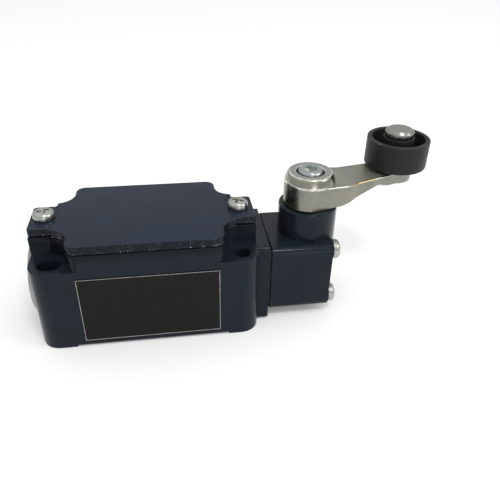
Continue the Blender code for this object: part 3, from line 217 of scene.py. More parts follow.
# Widths of the rounded edges
HOUSING_ROUNDING = 0.28 * MM
COVER_ROUNDING = 0.32 * MM
HEAD_ROUNDING = 0.4 * MM
GASKET_ROUNDING = 0.1 * MM
LEVER_ROUNDING = 0.42 * MM
INSERT_ROUNDING = 0.25 * MM
CARRIER_ROUNDING = 0.15 * MM
CONTACT_ROUNDING = 0.12 * MM
CLAMP_ROUNDING = 0.15 * MM
SMALL_SEGMENTS = 2
OWN_LOOK = -1

# Rounded copies of the solids
MERGE = 0.002 * MM
FLAT = math.radians(1.0)
SHARP = math.radians(32)
LEAST_RIM = 20.5 * MM
LEAST_LUG = 5 * MM
ACROSS = 0.7
ROOM_SHARE = 0.4
LEAST_ROOM = 0.3
EVEN_ROOM = 0.85
EASE_TRIES = 6
EASE_REACH = 2.0
EASE_AREA = 0.05 * MM ** 2
EASE_STEP = 0.6

# How a face or an edge lies: limits on one part of its unit normal or direction
WALL_RISE = 0.5
SHOULDER_RISE = 0.2
TOP_RISE = 0.8
STRAIGHT = 0.9
LEVEL = 0.95
SQUARE = 0.99

# Slack in telling faces and edges by their place
WALL_SLACK = 0.15 * MM
END_SLACK = 0.1 * MM
EDGE_SLACK = 0.05 * MM


def shade(colour, share):
    """A colour made darker or lighter."""
    return tuple(share * c for c in colour)


def middle_of(node):
    """The middle of a node's box."""
    low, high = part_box(node)
    return (low + high) / 2


def round_size(node):
    """The radius and the height of an upright round node."""
    low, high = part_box(node)
    return (high.x - low.x) / 2, high.z - low.z


# Textures: where most noise lies, the wander of turning marks, and a wave's radians per unit
NOISE_SPREAD = (0.3, 0.7)
RING_WANDER = 0.6
WAVE_RADIANS = 20


class Look:
    """A procedural material: textures in the piece's own coordinates that feed one Principled shader."""

    def __init__(self, name, **constants):
        self.material = bpy.data.materials.new(name)
        self.material.use_nodes = True
        self.nodes = self.material.node_tree.nodes
        self.links = self.material.node_tree.links
        self.shader = self.nodes["Principled BSDF"]
        self.place = self.nodes.new("ShaderNodeTexCoord").outputs["Object"]
        for socket, value in constants.items():
            self.shader.inputs[socket.replace("_", " ")].default_value = value

    def feed(self, socket, value):
        """Link an output, or set a constant."""
        if isinstance(value, bpy.types.NodeSocket):
            self.links.new(value, socket)
        else:
            socket.default_value = value

    def moved(self, scale=(1, 1, 1), shift=(0, 0, 0)):
        """The piece's coordinates, shifted and then stretched."""
        node = self.nodes.new("ShaderNodeMapping")
        node.inputs["Location"].default_value = [a * b for a, b in zip(shift, scale)]
        node.inputs["Scale"].default_value = scale
        self.links.new(self.place, node.inputs["Vector"])
        return node.outputs["Vector"]

    def noise(self, size, detail, stretch=None, distortion=0.0):
        """Cloudy noise, from 0 to 1, whose patches are about size metres across."""
        node = self.nodes.new("ShaderNodeTexNoise")
        node.inputs["Scale"].default_value = 1 / size
        node.inputs["Detail"].default_value = detail
        node.inputs["Distortion"].default_value = distortion
        self.links.new(self.moved(stretch) if stretch else self.place, node.inputs["Vector"])
        return node.outputs["Fac"]

    def rings(self, axis, centre, spacing):
        """Turning marks round an axis."""
        node = self.nodes.new("ShaderNodeTexWave")
        node.wave_type = "RINGS"
        node.rings_direction = axis
        node.inputs["Scale"].default_value = 1 / (WAVE_RADIANS * spacing) * math.tau
        node.inputs["Distortion"].default_value = RING_WANDER
        self.links.new(self.moved(shift=[-c for c in centre]), node.inputs["Vector"])
        return node.outputs["Fac"]

    def along(self, axis):
        """The piece's coordinate along X, Y or Z."""
        node = self.nodes.new("ShaderNodeSeparateXYZ")
        self.links.new(self.place, node.inputs["Vector"])
        return node.outputs[axis]

    def ramp(self, value, low, high, bottom=0.0, top=1.0):
        """A value stretched from one range to another, held at its ends."""
        node = self.nodes.new("ShaderNodeMapRange")
        node.interpolation_type = "SMOOTHSTEP"
        self.links.new(value, node.inputs["Value"])
        for socket, number in zip(("From Min", "From Max", "To Min", "To Max"), (low, high, bottom, top)):
            node.inputs[socket].default_value = number
        return node.outputs["Result"]

    def spots(self, size, detail, low, high, strength=1.0, **options):
        """Noise that starts to show at low and reaches its full strength at high."""
        return self.ramp(self.noise(size, detail, **options), low, high, 0.0, strength)

    def math(self, operation, first, second):
        """One arithmetic step."""
        node = self.nodes.new("ShaderNodeMath")
        node.operation = operation
        self.feed(node.inputs[0], first)
        self.feed(node.inputs[1], second)
        return node.outputs["Value"]

    def mix(self, factor, first, second):
        """Two colours mixed."""
        node = self.nodes.new("ShaderNodeMix")
        node.data_type = "RGBA"
        self.feed(node.inputs["Factor"], factor)
        self.feed(node.inputs["A"], (*first, 1) if isinstance(first, tuple) else first)
        self.feed(node.inputs["B"], (*second, 1) if isinstance(second, tuple) else second)
        return node.outputs["Result"]

    def colour(self, value):
        self.feed(self.shader.inputs["Base Color"], value)

    def metallic(self, value):
        self.feed(self.shader.inputs["Metallic"], value)

    def roughness(self, value):
        self.feed(self.shader.inputs["Roughness"], value)

    def roughen(self, size, detail, smooth, rough, **options):
        """Roughness that wanders between two values."""
        self.roughness(self.ramp(self.noise(size, detail, **options), *NOISE_SPREAD, smooth, rough))

    def bump(self, height, depth):
        """Relief of a real depth in metres. Calls add up."""
        node = self.nodes.new("ShaderNodeBump")
        node.inputs["Distance"].default_value = depth
        self.links.new(height, node.inputs["Height"])
        normal = self.shader.inputs["Normal"]
        if normal.is_linked:
            self.links.new(normal.links[0].from_socket, node.inputs["Normal"])
        self.links.new(node.outputs["Normal"], normal)


# Enamel
NAVY = (0.0098, 0.0135, 0.0188)
# Paler enamel where it is worn; on the head's edges it is also a painted highlight
NAVY_WORN_AND_HIGHLIT = (0.0200, 0.0250, 0.0320)
NAVY_SHEEN = (0.82, 0.92, 1.0, 1)
DUST = (0.045, 0.048, 0.052)
CHIP_METAL = (0.36, 0.37, 0.38)
CHIP_DULLING = 0.12
# Duller and darker enamel in the band of painted shade under the cover's edge
PAINTED_SHADE_DULLING = 0.35
PAINTED_SHADE_TONE = 0.6
CORNER_CHIPS = (18 * MM, 21 * MM)
FEWEST_CHIPS = 0.12


def enamel_chips(look, wear_and_highlight, chip_heights):
    """Where the enamel is chipped: flecks within patches, and all over the cover's corners."""
    patch = look.spots(4 * MM, 2, 0.58 - 0.10 * wear_and_highlight, 0.66 - 0.10 * wear_and_highlight)
    fleck = look.spots(0.30 * MM, 3, 0.59, 0.64, distortion=0.5)
    if chip_heights:
        corner = look.ramp(look.math("ABSOLUTE", look.along("X"), 0.0), *CORNER_CHIPS)
        patch = look.math("MAXIMUM", patch, corner)
        fleck = look.math("MULTIPLY", fleck, look.ramp(look.along("Z"), *chip_heights, 1.0, FEWEST_CHIPS))
    return look.math("MULTIPLY", patch, fleck)


def enamel(name, wear_and_highlight=0.0, chip_heights=None, painted_shade_heights=None, tone=(1, 1, 1)):
    """Semi-gloss stoving enamel with a faint orange peel.

    Where it is worn it is paler and chipped to bare metal; on the head's edges the paler colour is also a
    painted highlight. Chips thin out between the two chip heights, and a darker, duller painted shade lies
    between the two painted shade heights. Tone tints a copy: darker as painted shade, bluer as painted
    sheen.
    """
    look = Look(name, Specular_Tint=NAVY_SHEEN, Specular_IOR_Level=0.15)
    navy = tuple(share * c for share, c in zip(tone, NAVY))
    paint = look.mix(look.spots(9 * MM, 3, 0.35, 0.7), navy, shade(navy, 1.15))
    paint = look.mix(look.spots(0.35 * MM, 1, 0.70, 0.78, 0.35), paint, DUST)
    gloss = look.ramp(look.noise(5 * MM, 4), *NOISE_SPREAD, 0.13, 0.22)
    # Worn paler and chipped; on the head's edges the paler colour is also a painted highlight
    if wear_and_highlight:
        chip = enamel_chips(look, wear_and_highlight, chip_heights)
        paint = look.mix(look.spots(1.8 * MM, 3, 0.45, 0.75, wear_and_highlight), paint, NAVY_WORN_AND_HIGHLIT)
        paint = look.mix(chip, paint, CHIP_METAL)
        look.metallic(chip)
        gloss = look.math("ADD", gloss, look.math("MULTIPLY", chip, CHIP_DULLING))
    # Painted shade: between the two heights the enamel is darker and duller, for the shadow under the
    # cover's edge
    if painted_shade_heights:
        painted_shade = look.ramp(look.along("Z"), *painted_shade_heights)
        paint = look.mix(painted_shade, paint, shade(NAVY, PAINTED_SHADE_TONE))
        gloss = look.math("ADD", gloss, look.math("MULTIPLY", painted_shade, PAINTED_SHADE_DULLING))
    look.colour(paint)
    look.roughness(gloss)
    look.bump(look.noise(1.1 * MM, 1), 0.006 * MM)
    look.bump(look.noise(0.16 * MM, 2), 0.001 * MM)
    return look.material


def bare_casting():
    """Unpainted die-cast alloy inside the housing."""
    look = Look("bare_casting", Metallic=0.9)
    look.colour(look.mix(look.noise(4 * MM, 4), (0.34, 0.35, 0.35), (0.52, 0.52, 0.51)))
    look.roughen(1.2 * MM, 3, 0.42, 0.62)
    look.bump(look.noise(0.4 * MM, 4), 0.03 * MM)
    return look.material


def machined_collar():
    """Bare turned metal with fine rings round the cable entry's axis."""
    look = Look("machined_collar", Metallic=1.0)
    marks = look.rings("X", ENTRY_AXIS, 0.22 * MM)
    look.colour(look.mix(look.noise(3 * MM, 3), (0.27, 0.275, 0.27), (0.36, 0.36, 0.35)))
    look.roughness(look.ramp(marks, 0, 1, 0.30, 0.44))
    look.bump(marks, 0.006 * MM)
    return look.material


def zinc(name, tint=(0.42, 0.43, 0.42), stain=(0.46, 0.44, 0.31), dulling=0.40, relief=0.0025 * MM):
    """Zinc plating, with faint passivation colours and handling marks."""
    look = Look(name, Metallic=1.0)
    hue = look.mix(look.spots(2.2 * MM, 2, 0.50, 0.74), tint, stain)
    dull = look.spots(0.9 * MM, 4, 0.48, 0.78, dulling)
    look.colour(look.mix(dull, hue, shade(tint, 0.65)))
    look.roughen(0.6 * MM, 3, 0.20, 0.34)
    look.bump(look.noise(0.4 * MM, 2), relief)
    return look.material


def plated_casting(name, tone=1.0, rough=(0.24, 0.34), speckle=0.5, metallic=1.0):
    """Plated zinc die-casting: warm grey with a yellow cast, a speckled, faintly uneven skin and painted
    glints.
    """
    look = Look(name, Metallic=metallic)
    grey = shade((0.228, 0.230, 0.202), tone)
    straw = shade((0.260, 0.256, 0.204), tone)
    base = look.mix(look.spots(6 * MM, 3, 0.35, 0.65), grey, straw)
    smudge = look.spots(2.6 * MM, 5, 0.50, 0.75, 0.6 * speckle, distortion=0.8)
    base = look.mix(smudge, base, shade(grey, 0.72))
    speck = look.spots(0.34 * MM, 2, 0.60, 0.74, speckle)
    base = look.mix(speck, base, shade(grey, 0.45))
    # Painted glints: pale specks standing in for tiny highlights, scaled by speckle
    glint = look.spots(0.42 * MM, 2, 0.62, 0.74, speckle, distortion=0.4)
    look.colour(look.mix(glint, base, shade(grey, 1.5)))
    look.roughen(1.5 * MM, 4, *rough)
    look.bump(look.noise(3.5 * MM, 2), 0.008 * MM)
    look.bump(look.noise(0.3 * MM, 2), 0.0015 * MM)
    return look.material


def plated_edge_painted_highlight(name, gilt_from, gilt_to, fade):
    """Pale edges of the plated casting, a painted highlight, gilded in patches between two places along X.
    """
    look = Look(name, Metallic=1.0)
    pale = look.mix(look.spots(1.2 * MM, 3, 0.40, 0.65), (0.66, 0.66, 0.61), (0.46, 0.46, 0.41))
    patch = look.spots(1.6 * MM, 2, 0.30, 0.46)
    for start, end in ((gilt_from, gilt_from + fade), (gilt_to + fade, gilt_to)):
        patch = look.math("MULTIPLY", patch, look.ramp(look.along("X"), start, end))
    look.colour(look.mix(patch, pale, (0.60, 0.47, 0.22)))
    look.roughen(1.1 * MM, 3, 0.18, 0.30)
    look.bump(look.noise(0.5 * MM, 2), 0.004 * MM)
    return look.material


def spot_faced(name, centre, colour):
    """Plated face with the turned rings of its cutter round an upright axis."""
    look = Look(name, Metallic=1.0)
    marks = look.rings("Z", centre, 0.30 * MM)
    look.colour(look.mix(look.noise(2.5 * MM, 3), shade(colour, 0.85), shade(colour, 1.1)))
    look.roughness(look.ramp(marks, 0, 1, 0.28, 0.42))
    look.bump(marks, 0.005 * MM)
    return look.material


def turned_steel(name, colour):
    """Bright steel with fine lines."""
    look = Look(name, Metallic=1.0)
    grain = look.noise(0.5 * MM, 3, stretch=(1, 1, 12))
    look.colour(look.mix(grain, shade(colour, 0.8), shade(colour, 1.1)))
    look.roughness(look.ramp(grain, *NOISE_SPREAD, 0.22, 0.40))
    look.bump(grain, 0.004 * MM)
    return look.material


def soft_metal(name, colour, pores):
    """Brass, bronze or silver, mottled, with pores where it is sintered."""
    look = Look(name, Metallic=1.0)
    tone = look.mix(look.noise(1.5 * MM, 4), shade(colour, 0.78), colour)
    speck = look.spots(0.18 * MM, 2, 0.60, 0.72, pores)
    look.colour(look.mix(speck, tone, shade(colour, 0.3)))
    look.roughen(0.7 * MM, 3, 0.22, 0.42)
    look.bump(look.noise(0.2 * MM, 3), 0.008 * MM)
    return look.material


def rubber():
    """Black nitrile with a dusty bloom."""
    look = Look("rubber_black", Specular_IOR_Level=0.3)
    bloom = look.spots(1.2 * MM, 4, 0.5, 0.8)
    look.colour(look.mix(bloom, (0.011, 0.011, 0.011), (0.032, 0.032, 0.031)))
    look.roughen(0.4 * MM, 3, 0.66, 0.86)
    look.bump(look.noise(0.25 * MM, 3), 0.02 * MM)
    return look.material


def moulded(name, dark, light, speckle):
    """Moulded plastic with a fine spark-eroded grain and a few flecks."""
    look = Look(name, Specular_IOR_Level=0.4)
    tone = look.mix(look.noise(4 * MM, 3), dark, light)
    fleck = look.spots(0.22 * MM, 1, 0.70, 0.78, speckle)
    look.colour(look.mix(fleck, tone, tuple(min(1, c) for c in shade(light, 2.2))))
    look.roughen(0.8 * MM, 3, 0.42, 0.58)
    look.bump(look.noise(0.12 * MM, 2), 0.006 * MM)
    return look.material


def roller_nylon(name, base, nicks=0.0):
    """Black nylon whose rolling face is scuffed along its run, with pale nicks on an edge."""
    look = Look(name, Specular_IOR_Level=0.20)
    scuff = look.spots(0.9 * MM, 5, 0.50, 0.80, 0.6, stretch=(0.25, 0.25, 3))
    tone = look.mix(scuff, base, shade(base, 2))
    if nicks:
        tone = look.mix(look.spots(0.7 * MM, 3, 0.66, 0.72, nicks), tone, (0.22, 0.22, 0.21))
    look.colour(tone)
    look.roughen(0.7 * MM, 4, 0.38, 0.55, stretch=(0.4, 0.4, 3))
    look.bump(look.noise(0.3 * MM, 3, stretch=(0.4, 0.4, 2)), 0.008 * MM)
    return look.material


def plate_film():
    """Satin black label face with faint hairlines."""
    look = Look("plate_film", Specular_IOR_Level=0.08)
    hair = look.spots(0.5 * MM, 3, 0.60, 0.74, 0.3, stretch=(0.08, 1, 1.6))
    look.colour(look.mix(hair, (0.0115, 0.0115, 0.0112), (0.020, 0.020, 0.0195)))
    look.roughen(2.5 * MM, 3, 0.38, 0.50)
    look.bump(look.noise(0.3 * MM, 2), 0.003 * MM)
    return look.material


def plate_line():
    """Pale etched line, a little uneven."""
    look = Look("plate_line", Specular_IOR_Level=0.2)
    look.colour(look.mix(look.spots(0.8 * MM, 3, 0.4, 0.7), (0.26, 0.26, 0.255), (0.40, 0.40, 0.39)))
    look.roughen(0.4 * MM, 2, 0.45, 0.65)
    return look.material


# Places of the finishes that change along a piece
COVER_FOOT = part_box("cover")[0].z
COVER_CHIPS = (COVER_FOOT + 0.3 * MM, COVER_FOOT + 0.9 * MM)
# Band of painted shade on the housing's wall just under the cover's edge
SEAM_PAINTED_SHADE = (COVER_FOOT - 4.2 * MM, COVER_FOOT - 0.8 * MM)
HUB_MIDDLE = middle_of("shaft")
# Stretch of the arm where the painted edge highlight is gilded
GILT_STRETCH = (HUB_MIDDLE.x + 12 * MM, HUB_MIDDLE.x + 22 * MM)
GILT_FADE = 3 * MM

LOOKS = {
    "enamel": enamel("enamel"),
    # Cover's sides and edges: chipped, and darkened to half as painted shade
    "enamel_cover_edge_chipped_and_shaded": enamel("enamel_cover_edge_chipped_and_shaded", wear_and_highlight=0.8, chip_heights=COVER_CHIPS,
                                tone=(0.5, 0.5, 0.55)),
    # Head's rounded edges: worn paler and chipped, the paler colour also a painted highlight
    "enamel_head_edge_worn_and_highlit": enamel("enamel_head_edge_worn_and_highlit", wear_and_highlight=0.6),
    # Housing's outside, with a band of painted shade under the cover
    "enamel_seam_painted_shade": enamel("enamel_seam_painted_shade", painted_shade_heights=SEAM_PAINTED_SHADE),
    # Walls of the entry end's notches, darkened as painted shade
    "enamel_notch_painted_shade": enamel("enamel_notch_painted_shade", tone=(0.45, 0.45, 0.45)),
    # Cover's top, made bluer as a painted sheen
    "enamel_cover_painted_sheen": enamel("enamel_cover_painted_sheen", tone=(0.8, 1.0, 1.5)),
    "casting": bare_casting(),
    "machined": machined_collar(),
    "zinc": zinc("zinc"),
    "zinc_warm": zinc("zinc_warm", (0.29, 0.295, 0.27), (0.31, 0.30, 0.22), dulling=0.15,
                      relief=0.001 * MM),
    "zinc_blue": zinc("zinc_blue", (0.36, 0.39, 0.41), (0.42, 0.40, 0.34)),
    "zinc_green": zinc("zinc_green", (0.50, 0.55, 0.52), (0.56, 0.55, 0.42), dulling=0.1),
    "lever": plated_casting("plated_casting"),
    # Rounded edges of the lever: pale, gilded along part of the arm, all a painted highlight
    "lever_edge_painted_highlight": plated_edge_painted_highlight("plated_edge_painted_highlight", *GILT_STRETCH, GILT_FADE),
    # Top faces of the lever: the plating 14% lighter as painted light, and less metallic
    "lever_top_painted_light": plated_casting("plated_casting_top_painted_light", 1.14, rough=(0.40, 0.52), speckle=0.25,
                                metallic=0.75),
    # Sloping shoulder faces of the hub: the plating 40% lighter as a painted highlight
    "lever_shoulder_painted_highlight": plated_casting("plated_casting_shoulder_painted_highlight", 1.40, rough=(0.16, 0.24), speckle=0.4),
    "lever_ring": spot_faced("plated_ring", HUB_MIDDLE, (0.36, 0.365, 0.345)),
    "steel": turned_steel("turned_steel", (0.52, 0.52, 0.51)),
    "bronze": soft_metal("sintered_bronze", (0.52, 0.36, 0.18), pores=0.8),
    "brass": soft_metal("bright_brass", (0.72, 0.56, 0.26), pores=0.1),
    "silver": soft_metal("silver_alloy", (0.80, 0.79, 0.76), pores=0.1),
    "rubber": rubber(),
    "roller": roller_nylon("roller_nylon", (0.0135, 0.0133, 0.0130)),
    # Rim edge: twice as pale with nicks, worn and also a painted highlight
    "roller_edge_worn_and_highlit": roller_nylon("roller_nylon_edge_worn_and_highlit", (0.026, 0.0255, 0.025), nicks=0.8),
    "thermoset": moulded("thermoset", (0.030, 0.027, 0.024), (0.050, 0.045, 0.040), speckle=0.5),
    "nylon": moulded("ivory_nylon", (0.62, 0.60, 0.52), (0.72, 0.70, 0.62), speckle=0.15),
    "plate": plate_film(),
    "plate_line": plate_line(),
}
# The finishes of the record's material slots that don't have their slot's name
SLOT_LOOKS = {
    "plated_diecast": "lever",
    "contact_silver": "silver",
    "roller_plastic": "roller",
    "insert_plastic": "thermoset",
    "carrier_plastic": "nylon",
}
BEHAVIOUR = frame["record"]["behaviour"]
BODY_OF = {node: body for body, nodes in BEHAVIOUR["bodies"].items() for node in nodes}
SLOT_OF = {row["node"]: row["material_slot"] for row in frame["record"]["subparts"]}


def slot_look(node):
    """The name of a node's plain finish."""
    slot = SLOT_OF[node]
    return SLOT_LOOKS.get(slot, slot)


def numbered(kind, count):
    """The names of a repeated node."""
    return [f"{kind}_{number}" for number in range(1, count + 1)]


def new_object(name, data):
    """An object in the scene."""
    item = bpy.data.objects.new(name, data)
    bpy.context.scene.collection.objects.link(item)
    return item


def add(name, mesh, looks):
    """Put a mesh in the scene with its finishes."""
    for look in looks:
        mesh.materials.append(LOOKS[look])
    return new_object(name, mesh)


def stand_for(node):
    """Hide a node that a piece is shown in place of."""
    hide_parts(node)


def show(node, mesh, looks):
    """Put a mesh in the scene on a node's body, in place of the node."""
    piece = add(f"{node}_finish", mesh, looks)
    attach(piece, BODY_OF[node])
    stand_for(node)
    return piece


def mesh_from(bm, name, sharp=None):
    """A smooth-shaded mesh from a finished bmesh, whose edges over a sharp angle stay sharp."""
    bmesh.ops.recalc_face_normals(bm, faces=bm.faces)
    mesh = bpy.data.meshes.new(name)
    bm.to_mesh(mesh)
    bm.free()
    mesh.shade_smooth()
    if sharp:
        mesh.set_sharp_from_angle(angle=sharp)
    return mesh


def copy_of(node):
    """A bmesh of a node's solid, with its corners merged."""
    bm = bmesh.new()
    bm.from_mesh(frame["nodes"][node].data)
    bmesh.ops.remove_doubles(bm, verts=bm.verts, dist=MERGE)
    return bm


def merge_flats(bm):
    """Merge the triangles that lie flat beside each other."""
    bmesh.ops.dissolve_limit(bm, angle_limit=FLAT, verts=bm.verts, edges=bm.edges)


def outline_spans(edges):
    """How far the connected outline that each edge is part of reaches."""
    spans = {}
    chosen = set(edges)
    for first in edges:
        if first in spans:
            continue
        group = {first}
        queue = [first]
        while queue:
            ends = queue.pop().verts
            near = {other for vert in ends for other in vert.link_edges if other in chosen} - group
            group |= near
            queue += near
        points = [vert.co for edge in group for vert in edge.verts]
        span = max(max(p[axis] for p in points) - min(p[axis] for p in points) for axis in range(3))
        spans.update(dict.fromkeys(group, span))
    return spans


def nearest(point, first, second):
    """The nearest place to a point on the line between two others."""
    share = intersect_point_line(point, first, second)[1]
    return first.lerp(second, min(1.0, max(0.0, share)))


def offset_to(point, edge):
    """From a point to the nearest place on an edge."""
    return nearest(point, *(vert.co for vert in edge.verts)) - point


def corner_room(edge, width):
    """How much of a rounding's width an edge has room for beside its neighbours and across its faces."""
    first, second = edge.verts
    along = (second.co - first.co).normalized()
    middle = (first.co + second.co) / 2
    spans = [other.other_vert(vert).co - vert.co for vert in edge.verts for other in vert.link_edges]
    for face in edge.link_faces:
        for other in face.edges:
            if other is edge:
                continue
            spans.append(offset_to(middle, other))
            spans += [offset_to(vert.co, other) for vert in edge.verts if vert not in other.verts]
    across = [span.length for span in spans if abs(span.dot(along)) < ACROSS * span.length]
    return min([width] + [ROOM_SHARE * length for length in across]) / width


def weigh_edges(bm, width, least_span, also, share):
    """Give each edge that is to be rounded its share of the width, and mark the other sharp edges."""
    weight = bm.edges.layers.float.new("bevel_weight_edge")
    whole = [edge for edge in bm.edges if len(edge.link_faces) == 2]
    sharp = [edge for edge in whole if edge.calc_face_angle() > SHARP or also and also(edge)]
    spans = outline_spans([edge for edge in sharp if edge.calc_face_angle_signed() > 0])
    for edge in sharp:
        room = share(edge) if share else None
        if room is None:
            room = corner_room(edge, width) if spans.get(edge, 0.0) > least_span else 0.0
        if room > LEAST_ROOM:
            edge[weight] = room
        else:
            edge.smooth = False


def crossings(piece):
    """Places where a side of a face has been turned round, so that the face's outline crosses itself."""
    mesh = piece.evaluated_get(bpy.context.evaluated_depsgraph_get()).to_mesh()
    mesh.calc_loop_triangles()
    excess = [-face.area for face in mesh.polygons]
    for triangle in mesh.loop_triangles:
        excess[triangle.polygon_index] += triangle.area
    places = []
    for face in mesh.polygons:
        points = [mesh.vertices[index].co.copy() for index in face.vertices]
        count = len(points)
        if excess[face.index] < EASE_AREA or count == 3:
            continue
        thin = max(range(3), key=lambda axis: abs(face.normal[axis]))
        flat = [Vector([c for axis, c in enumerate(point) if axis != thin]) for point in points]
        for first in range(count):
            second, third, fourth = ((first + step) % count for step in (1, 2, 3))
            if intersect_line_line_2d(flat[first], flat[second], flat[third], flat[fourth]):
                places.append((points[second] + points[third]) / 2)
    return places


def ease(piece, width):
    """Narrow the roundings beside each place where they would make a face cross itself."""
    mesh = piece.data
    weights = mesh.attributes["bevel_weight_edge"].data
    reach = EASE_REACH * width
    for _ in range(EASE_TRIES):
        places = crossings(piece)
        if not places:
            return
        for edge in mesh.edges:
            weight = weights[edge.index]
            if not weight.value:
                continue
            first, second = (mesh.vertices[index].co for index in edge.vertices)
            if any((nearest(place, first, second) - place).length < reach for place in places):
                weight.value = EASE_STEP * weight.value if weight.value > LEAST_ROOM else 0.0
                edge.use_edge_sharp = not weight.value
        mesh.update()


def rounded(node, width, looks=None, paint=None, edge_look=1, segments=3, least_span=0.0, prepare=None,
            also=None, share=None):
    """A copy of a node with its flat faces merged and its outer edges rounded, shown in place of the node.

    Paint gives each face its look, and edge_look is the one on the rounded edges, or OWN_LOOK for that of
    their faces. Outlines that reach less than least_span, such as small holes, stay sharp, and so do inside
    corners. Before that, prepare may shape the copy, also picks shallow edges to round too, and share gives
    some edges a set share of the width.
    """
    bm = copy_of(node)
    merge_flats(bm)
    if prepare:
        prepare(bm)
    weigh_edges(bm, width, least_span, also, share)
    for face in bm.faces:
        face.material_index = paint(face) if paint else 0
    looks = looks or [slot_look(node)]
    piece = show(node, mesh_from(bm, f"{node}_finish"), looks)
    bevel = piece.modifiers.new("rounded_edges", "BEVEL")
    bevel.limit_method = "WEIGHT"
    bevel.width = width
    bevel.segments = segments
    bevel.use_clamp_overlap = False
    bevel.material = edge_look if len(looks) > 1 else OWN_LOOK
    ease(piece, width)
    flat = piece.modifiers.new("flat_faces", "WEIGHTED_NORMAL")
    flat.keep_sharp = True


def softened(points, radius):
    """An outline with every corner between its two ends rounded."""
    result = []
    last = len(points) - 1
    for index, point in enumerate(points):
        corner = Vector(point)
        if index in (0, last):
            result.append(corner)
            continue
        before = Vector(points[index - 1]) - corner
        after = Vector(points[index + 1]) - corner
        reach = min(radius, SOFT_SHARE * before.length, SOFT_SHARE * after.length)
        start = corner + before.normalized() * reach
        end = corner + after.normalized() * reach
        for step in range(SOFT_STEPS + 1):
            share = step / SOFT_STEPS
            result.append((1 - share) ** 2 * start + 2 * share * (1 - share) * corner + share ** 2 * end)
    return result


def lathe(profile, segments=ROUND):
    """A bmesh turned about Z from (radius, height) points."""
    bm = bmesh.new()
    verts = [bm.verts.new((radius, 0, height)) for radius, height in profile]
    edges = [bm.edges.new(pair) for pair in zip(verts, verts[1:])]
    bmesh.ops.spin(bm, geom=verts + edges, axis=(0, 0, 1), cent=(0, 0, 0), angle=math.tau, steps=segments,
                   use_merge=True)
    bmesh.ops.remove_doubles(bm, verts=bm.verts, dist=TURNED_MERGE)
    return bm


def show_on_axis(node, bm, axis, looks, sharp=None):
    """Show a piece made about Z in place of a node, on an upright axis and from the node's foot up."""
    mesh = mesh_from(bm, node, sharp)
    mesh.transform(Matrix.Translation((*axis.xy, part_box(node)[0].z)))
    show(node, mesh, looks)


def cut(mesh, cutter_mesh):
    """The mesh with another cut out of it."""
    body = new_object("cut_body", mesh)
    tool = new_object("cut_tool", cutter_mesh)
    step = body.modifiers.new("cut", "BOOLEAN")
    step.operation = "DIFFERENCE"
    step.solver = "EXACT"
    step.object = tool
    result = bpy.data.meshes.new_from_object(body.evaluated_get(bpy.context.evaluated_depsgraph_get()))
    for item in (body, tool):
        bpy.data.objects.remove(item)
    result.shade_smooth()
    result.set_sharp_from_angle(angle=CUT_SHARP)
    return result


def tapered(outline, low, high, foot):
    """A prism whose lower end is scaled by foot."""
    bm = bmesh.new()
    bottom = [bm.verts.new((foot * x, foot * y, low)) for x, y in outline]
    top = [bm.verts.new((x, y, high)) for x, y in outline]
    bm.faces.new(reversed(bottom))
    bm.faces.new(top)
    for index, corner in enumerate(bottom):
        after = (index + 1) % len(bottom)
        bm.faces.new((corner, bottom[after], top[after], top[index]))
    return mesh_from(bm, "cutter")


def cross_outline(reach, width):
    """A cross recess seen from above."""
    half = width / 2
    quarter = [Vector((half, half)), Vector((half, reach)), Vector((-half, reach))]
    turns = [Matrix.Rotation(math.radians(90 * number), 2) for number in range(4)]
    return [turn @ point for turn in turns for point in quarter]


def polygon(sides, across_flats):
    """A regular polygon."""
    radius = across_flats / 2 / math.cos(math.pi / sides)
    angles = [math.tau * index / sides for index in range(sides)]
    return [(radius * math.cos(angle), radius * math.sin(angle)) for angle in angles]


def ridges(radius, low, high, pitch, depth):
    """Points down the outside of a thread."""
    count = max(1, int((high - low) / pitch))
    points = []
    for index in range(count):
        crest = high - (index + 0.5) * pitch
        points += [(radius - depth, crest + RIDGE_FOOT * pitch), (radius, crest + RIDGE_CREST * pitch),
                   (radius, crest - RIDGE_CREST * pitch), (radius - depth, crest - RIDGE_FOOT * pitch)]
    return points


def screw_mesh(head_r, length, size):
    """A cross-recessed pan-head screw on Z, its seat at the origin."""
    head, shank, pitch = size
    tip = head - length
    dome = [(across * head_r, up * head) for across, up in PAN_HEAD]
    neck = [(shank, 0), (shank, -SCREW_NECK)]
    thread = ridges(shank, tip + shank / 2, -SCREW_THREAD_START, pitch, RIDGE_DEPTH * pitch)
    point = [(TIP_SHOULDER * shank, tip + SCREW_TIP_BEVEL), (TIP_END * shank, tip), (0, tip)]
    mesh = mesh_from(lathe(dome + neck + thread + point, SMALL_ROUND), "screw")
    top = CUTTER_TOP * head
    cross = cross_outline(CROSS_REACH * head_r, CROSS_WIDTH * head_r)
    mesh = cut(mesh, tapered(cross, CROSS_FLOOR * head, top, CROSS_TAPER))
    hollow = polygon(4, HOLLOW_WIDTH * head_r)
    return cut(mesh, tapered(hollow, HOLLOW_FLOOR * head, top, HOLLOW_TAPER))


ALONG_X = Matrix(((0, 0, 1), (1, 0, 0), (0, 1, 0))).to_4x4()


def place_screws(nodes, size, look, along_x=False):
    """Screws of one size at their nodes, each turned to its own angle."""
    axis = 0 if along_x else 2
    stance = ALONG_X if along_x else Matrix.Identity(4)
    for node, angle in zip(nodes, SCREW_TURNS):
        low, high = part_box(node)
        reach = high - low
        mesh = screw_mesh(reach.y / 2, reach[axis], size)
        seat = (low + high) / 2
        seat[axis] = high[axis] - size.head
        mesh.transform(Matrix.Translation(seat) @ stance @ Matrix.Rotation(angle, 4, "Z"))
        show(node, mesh, [look])


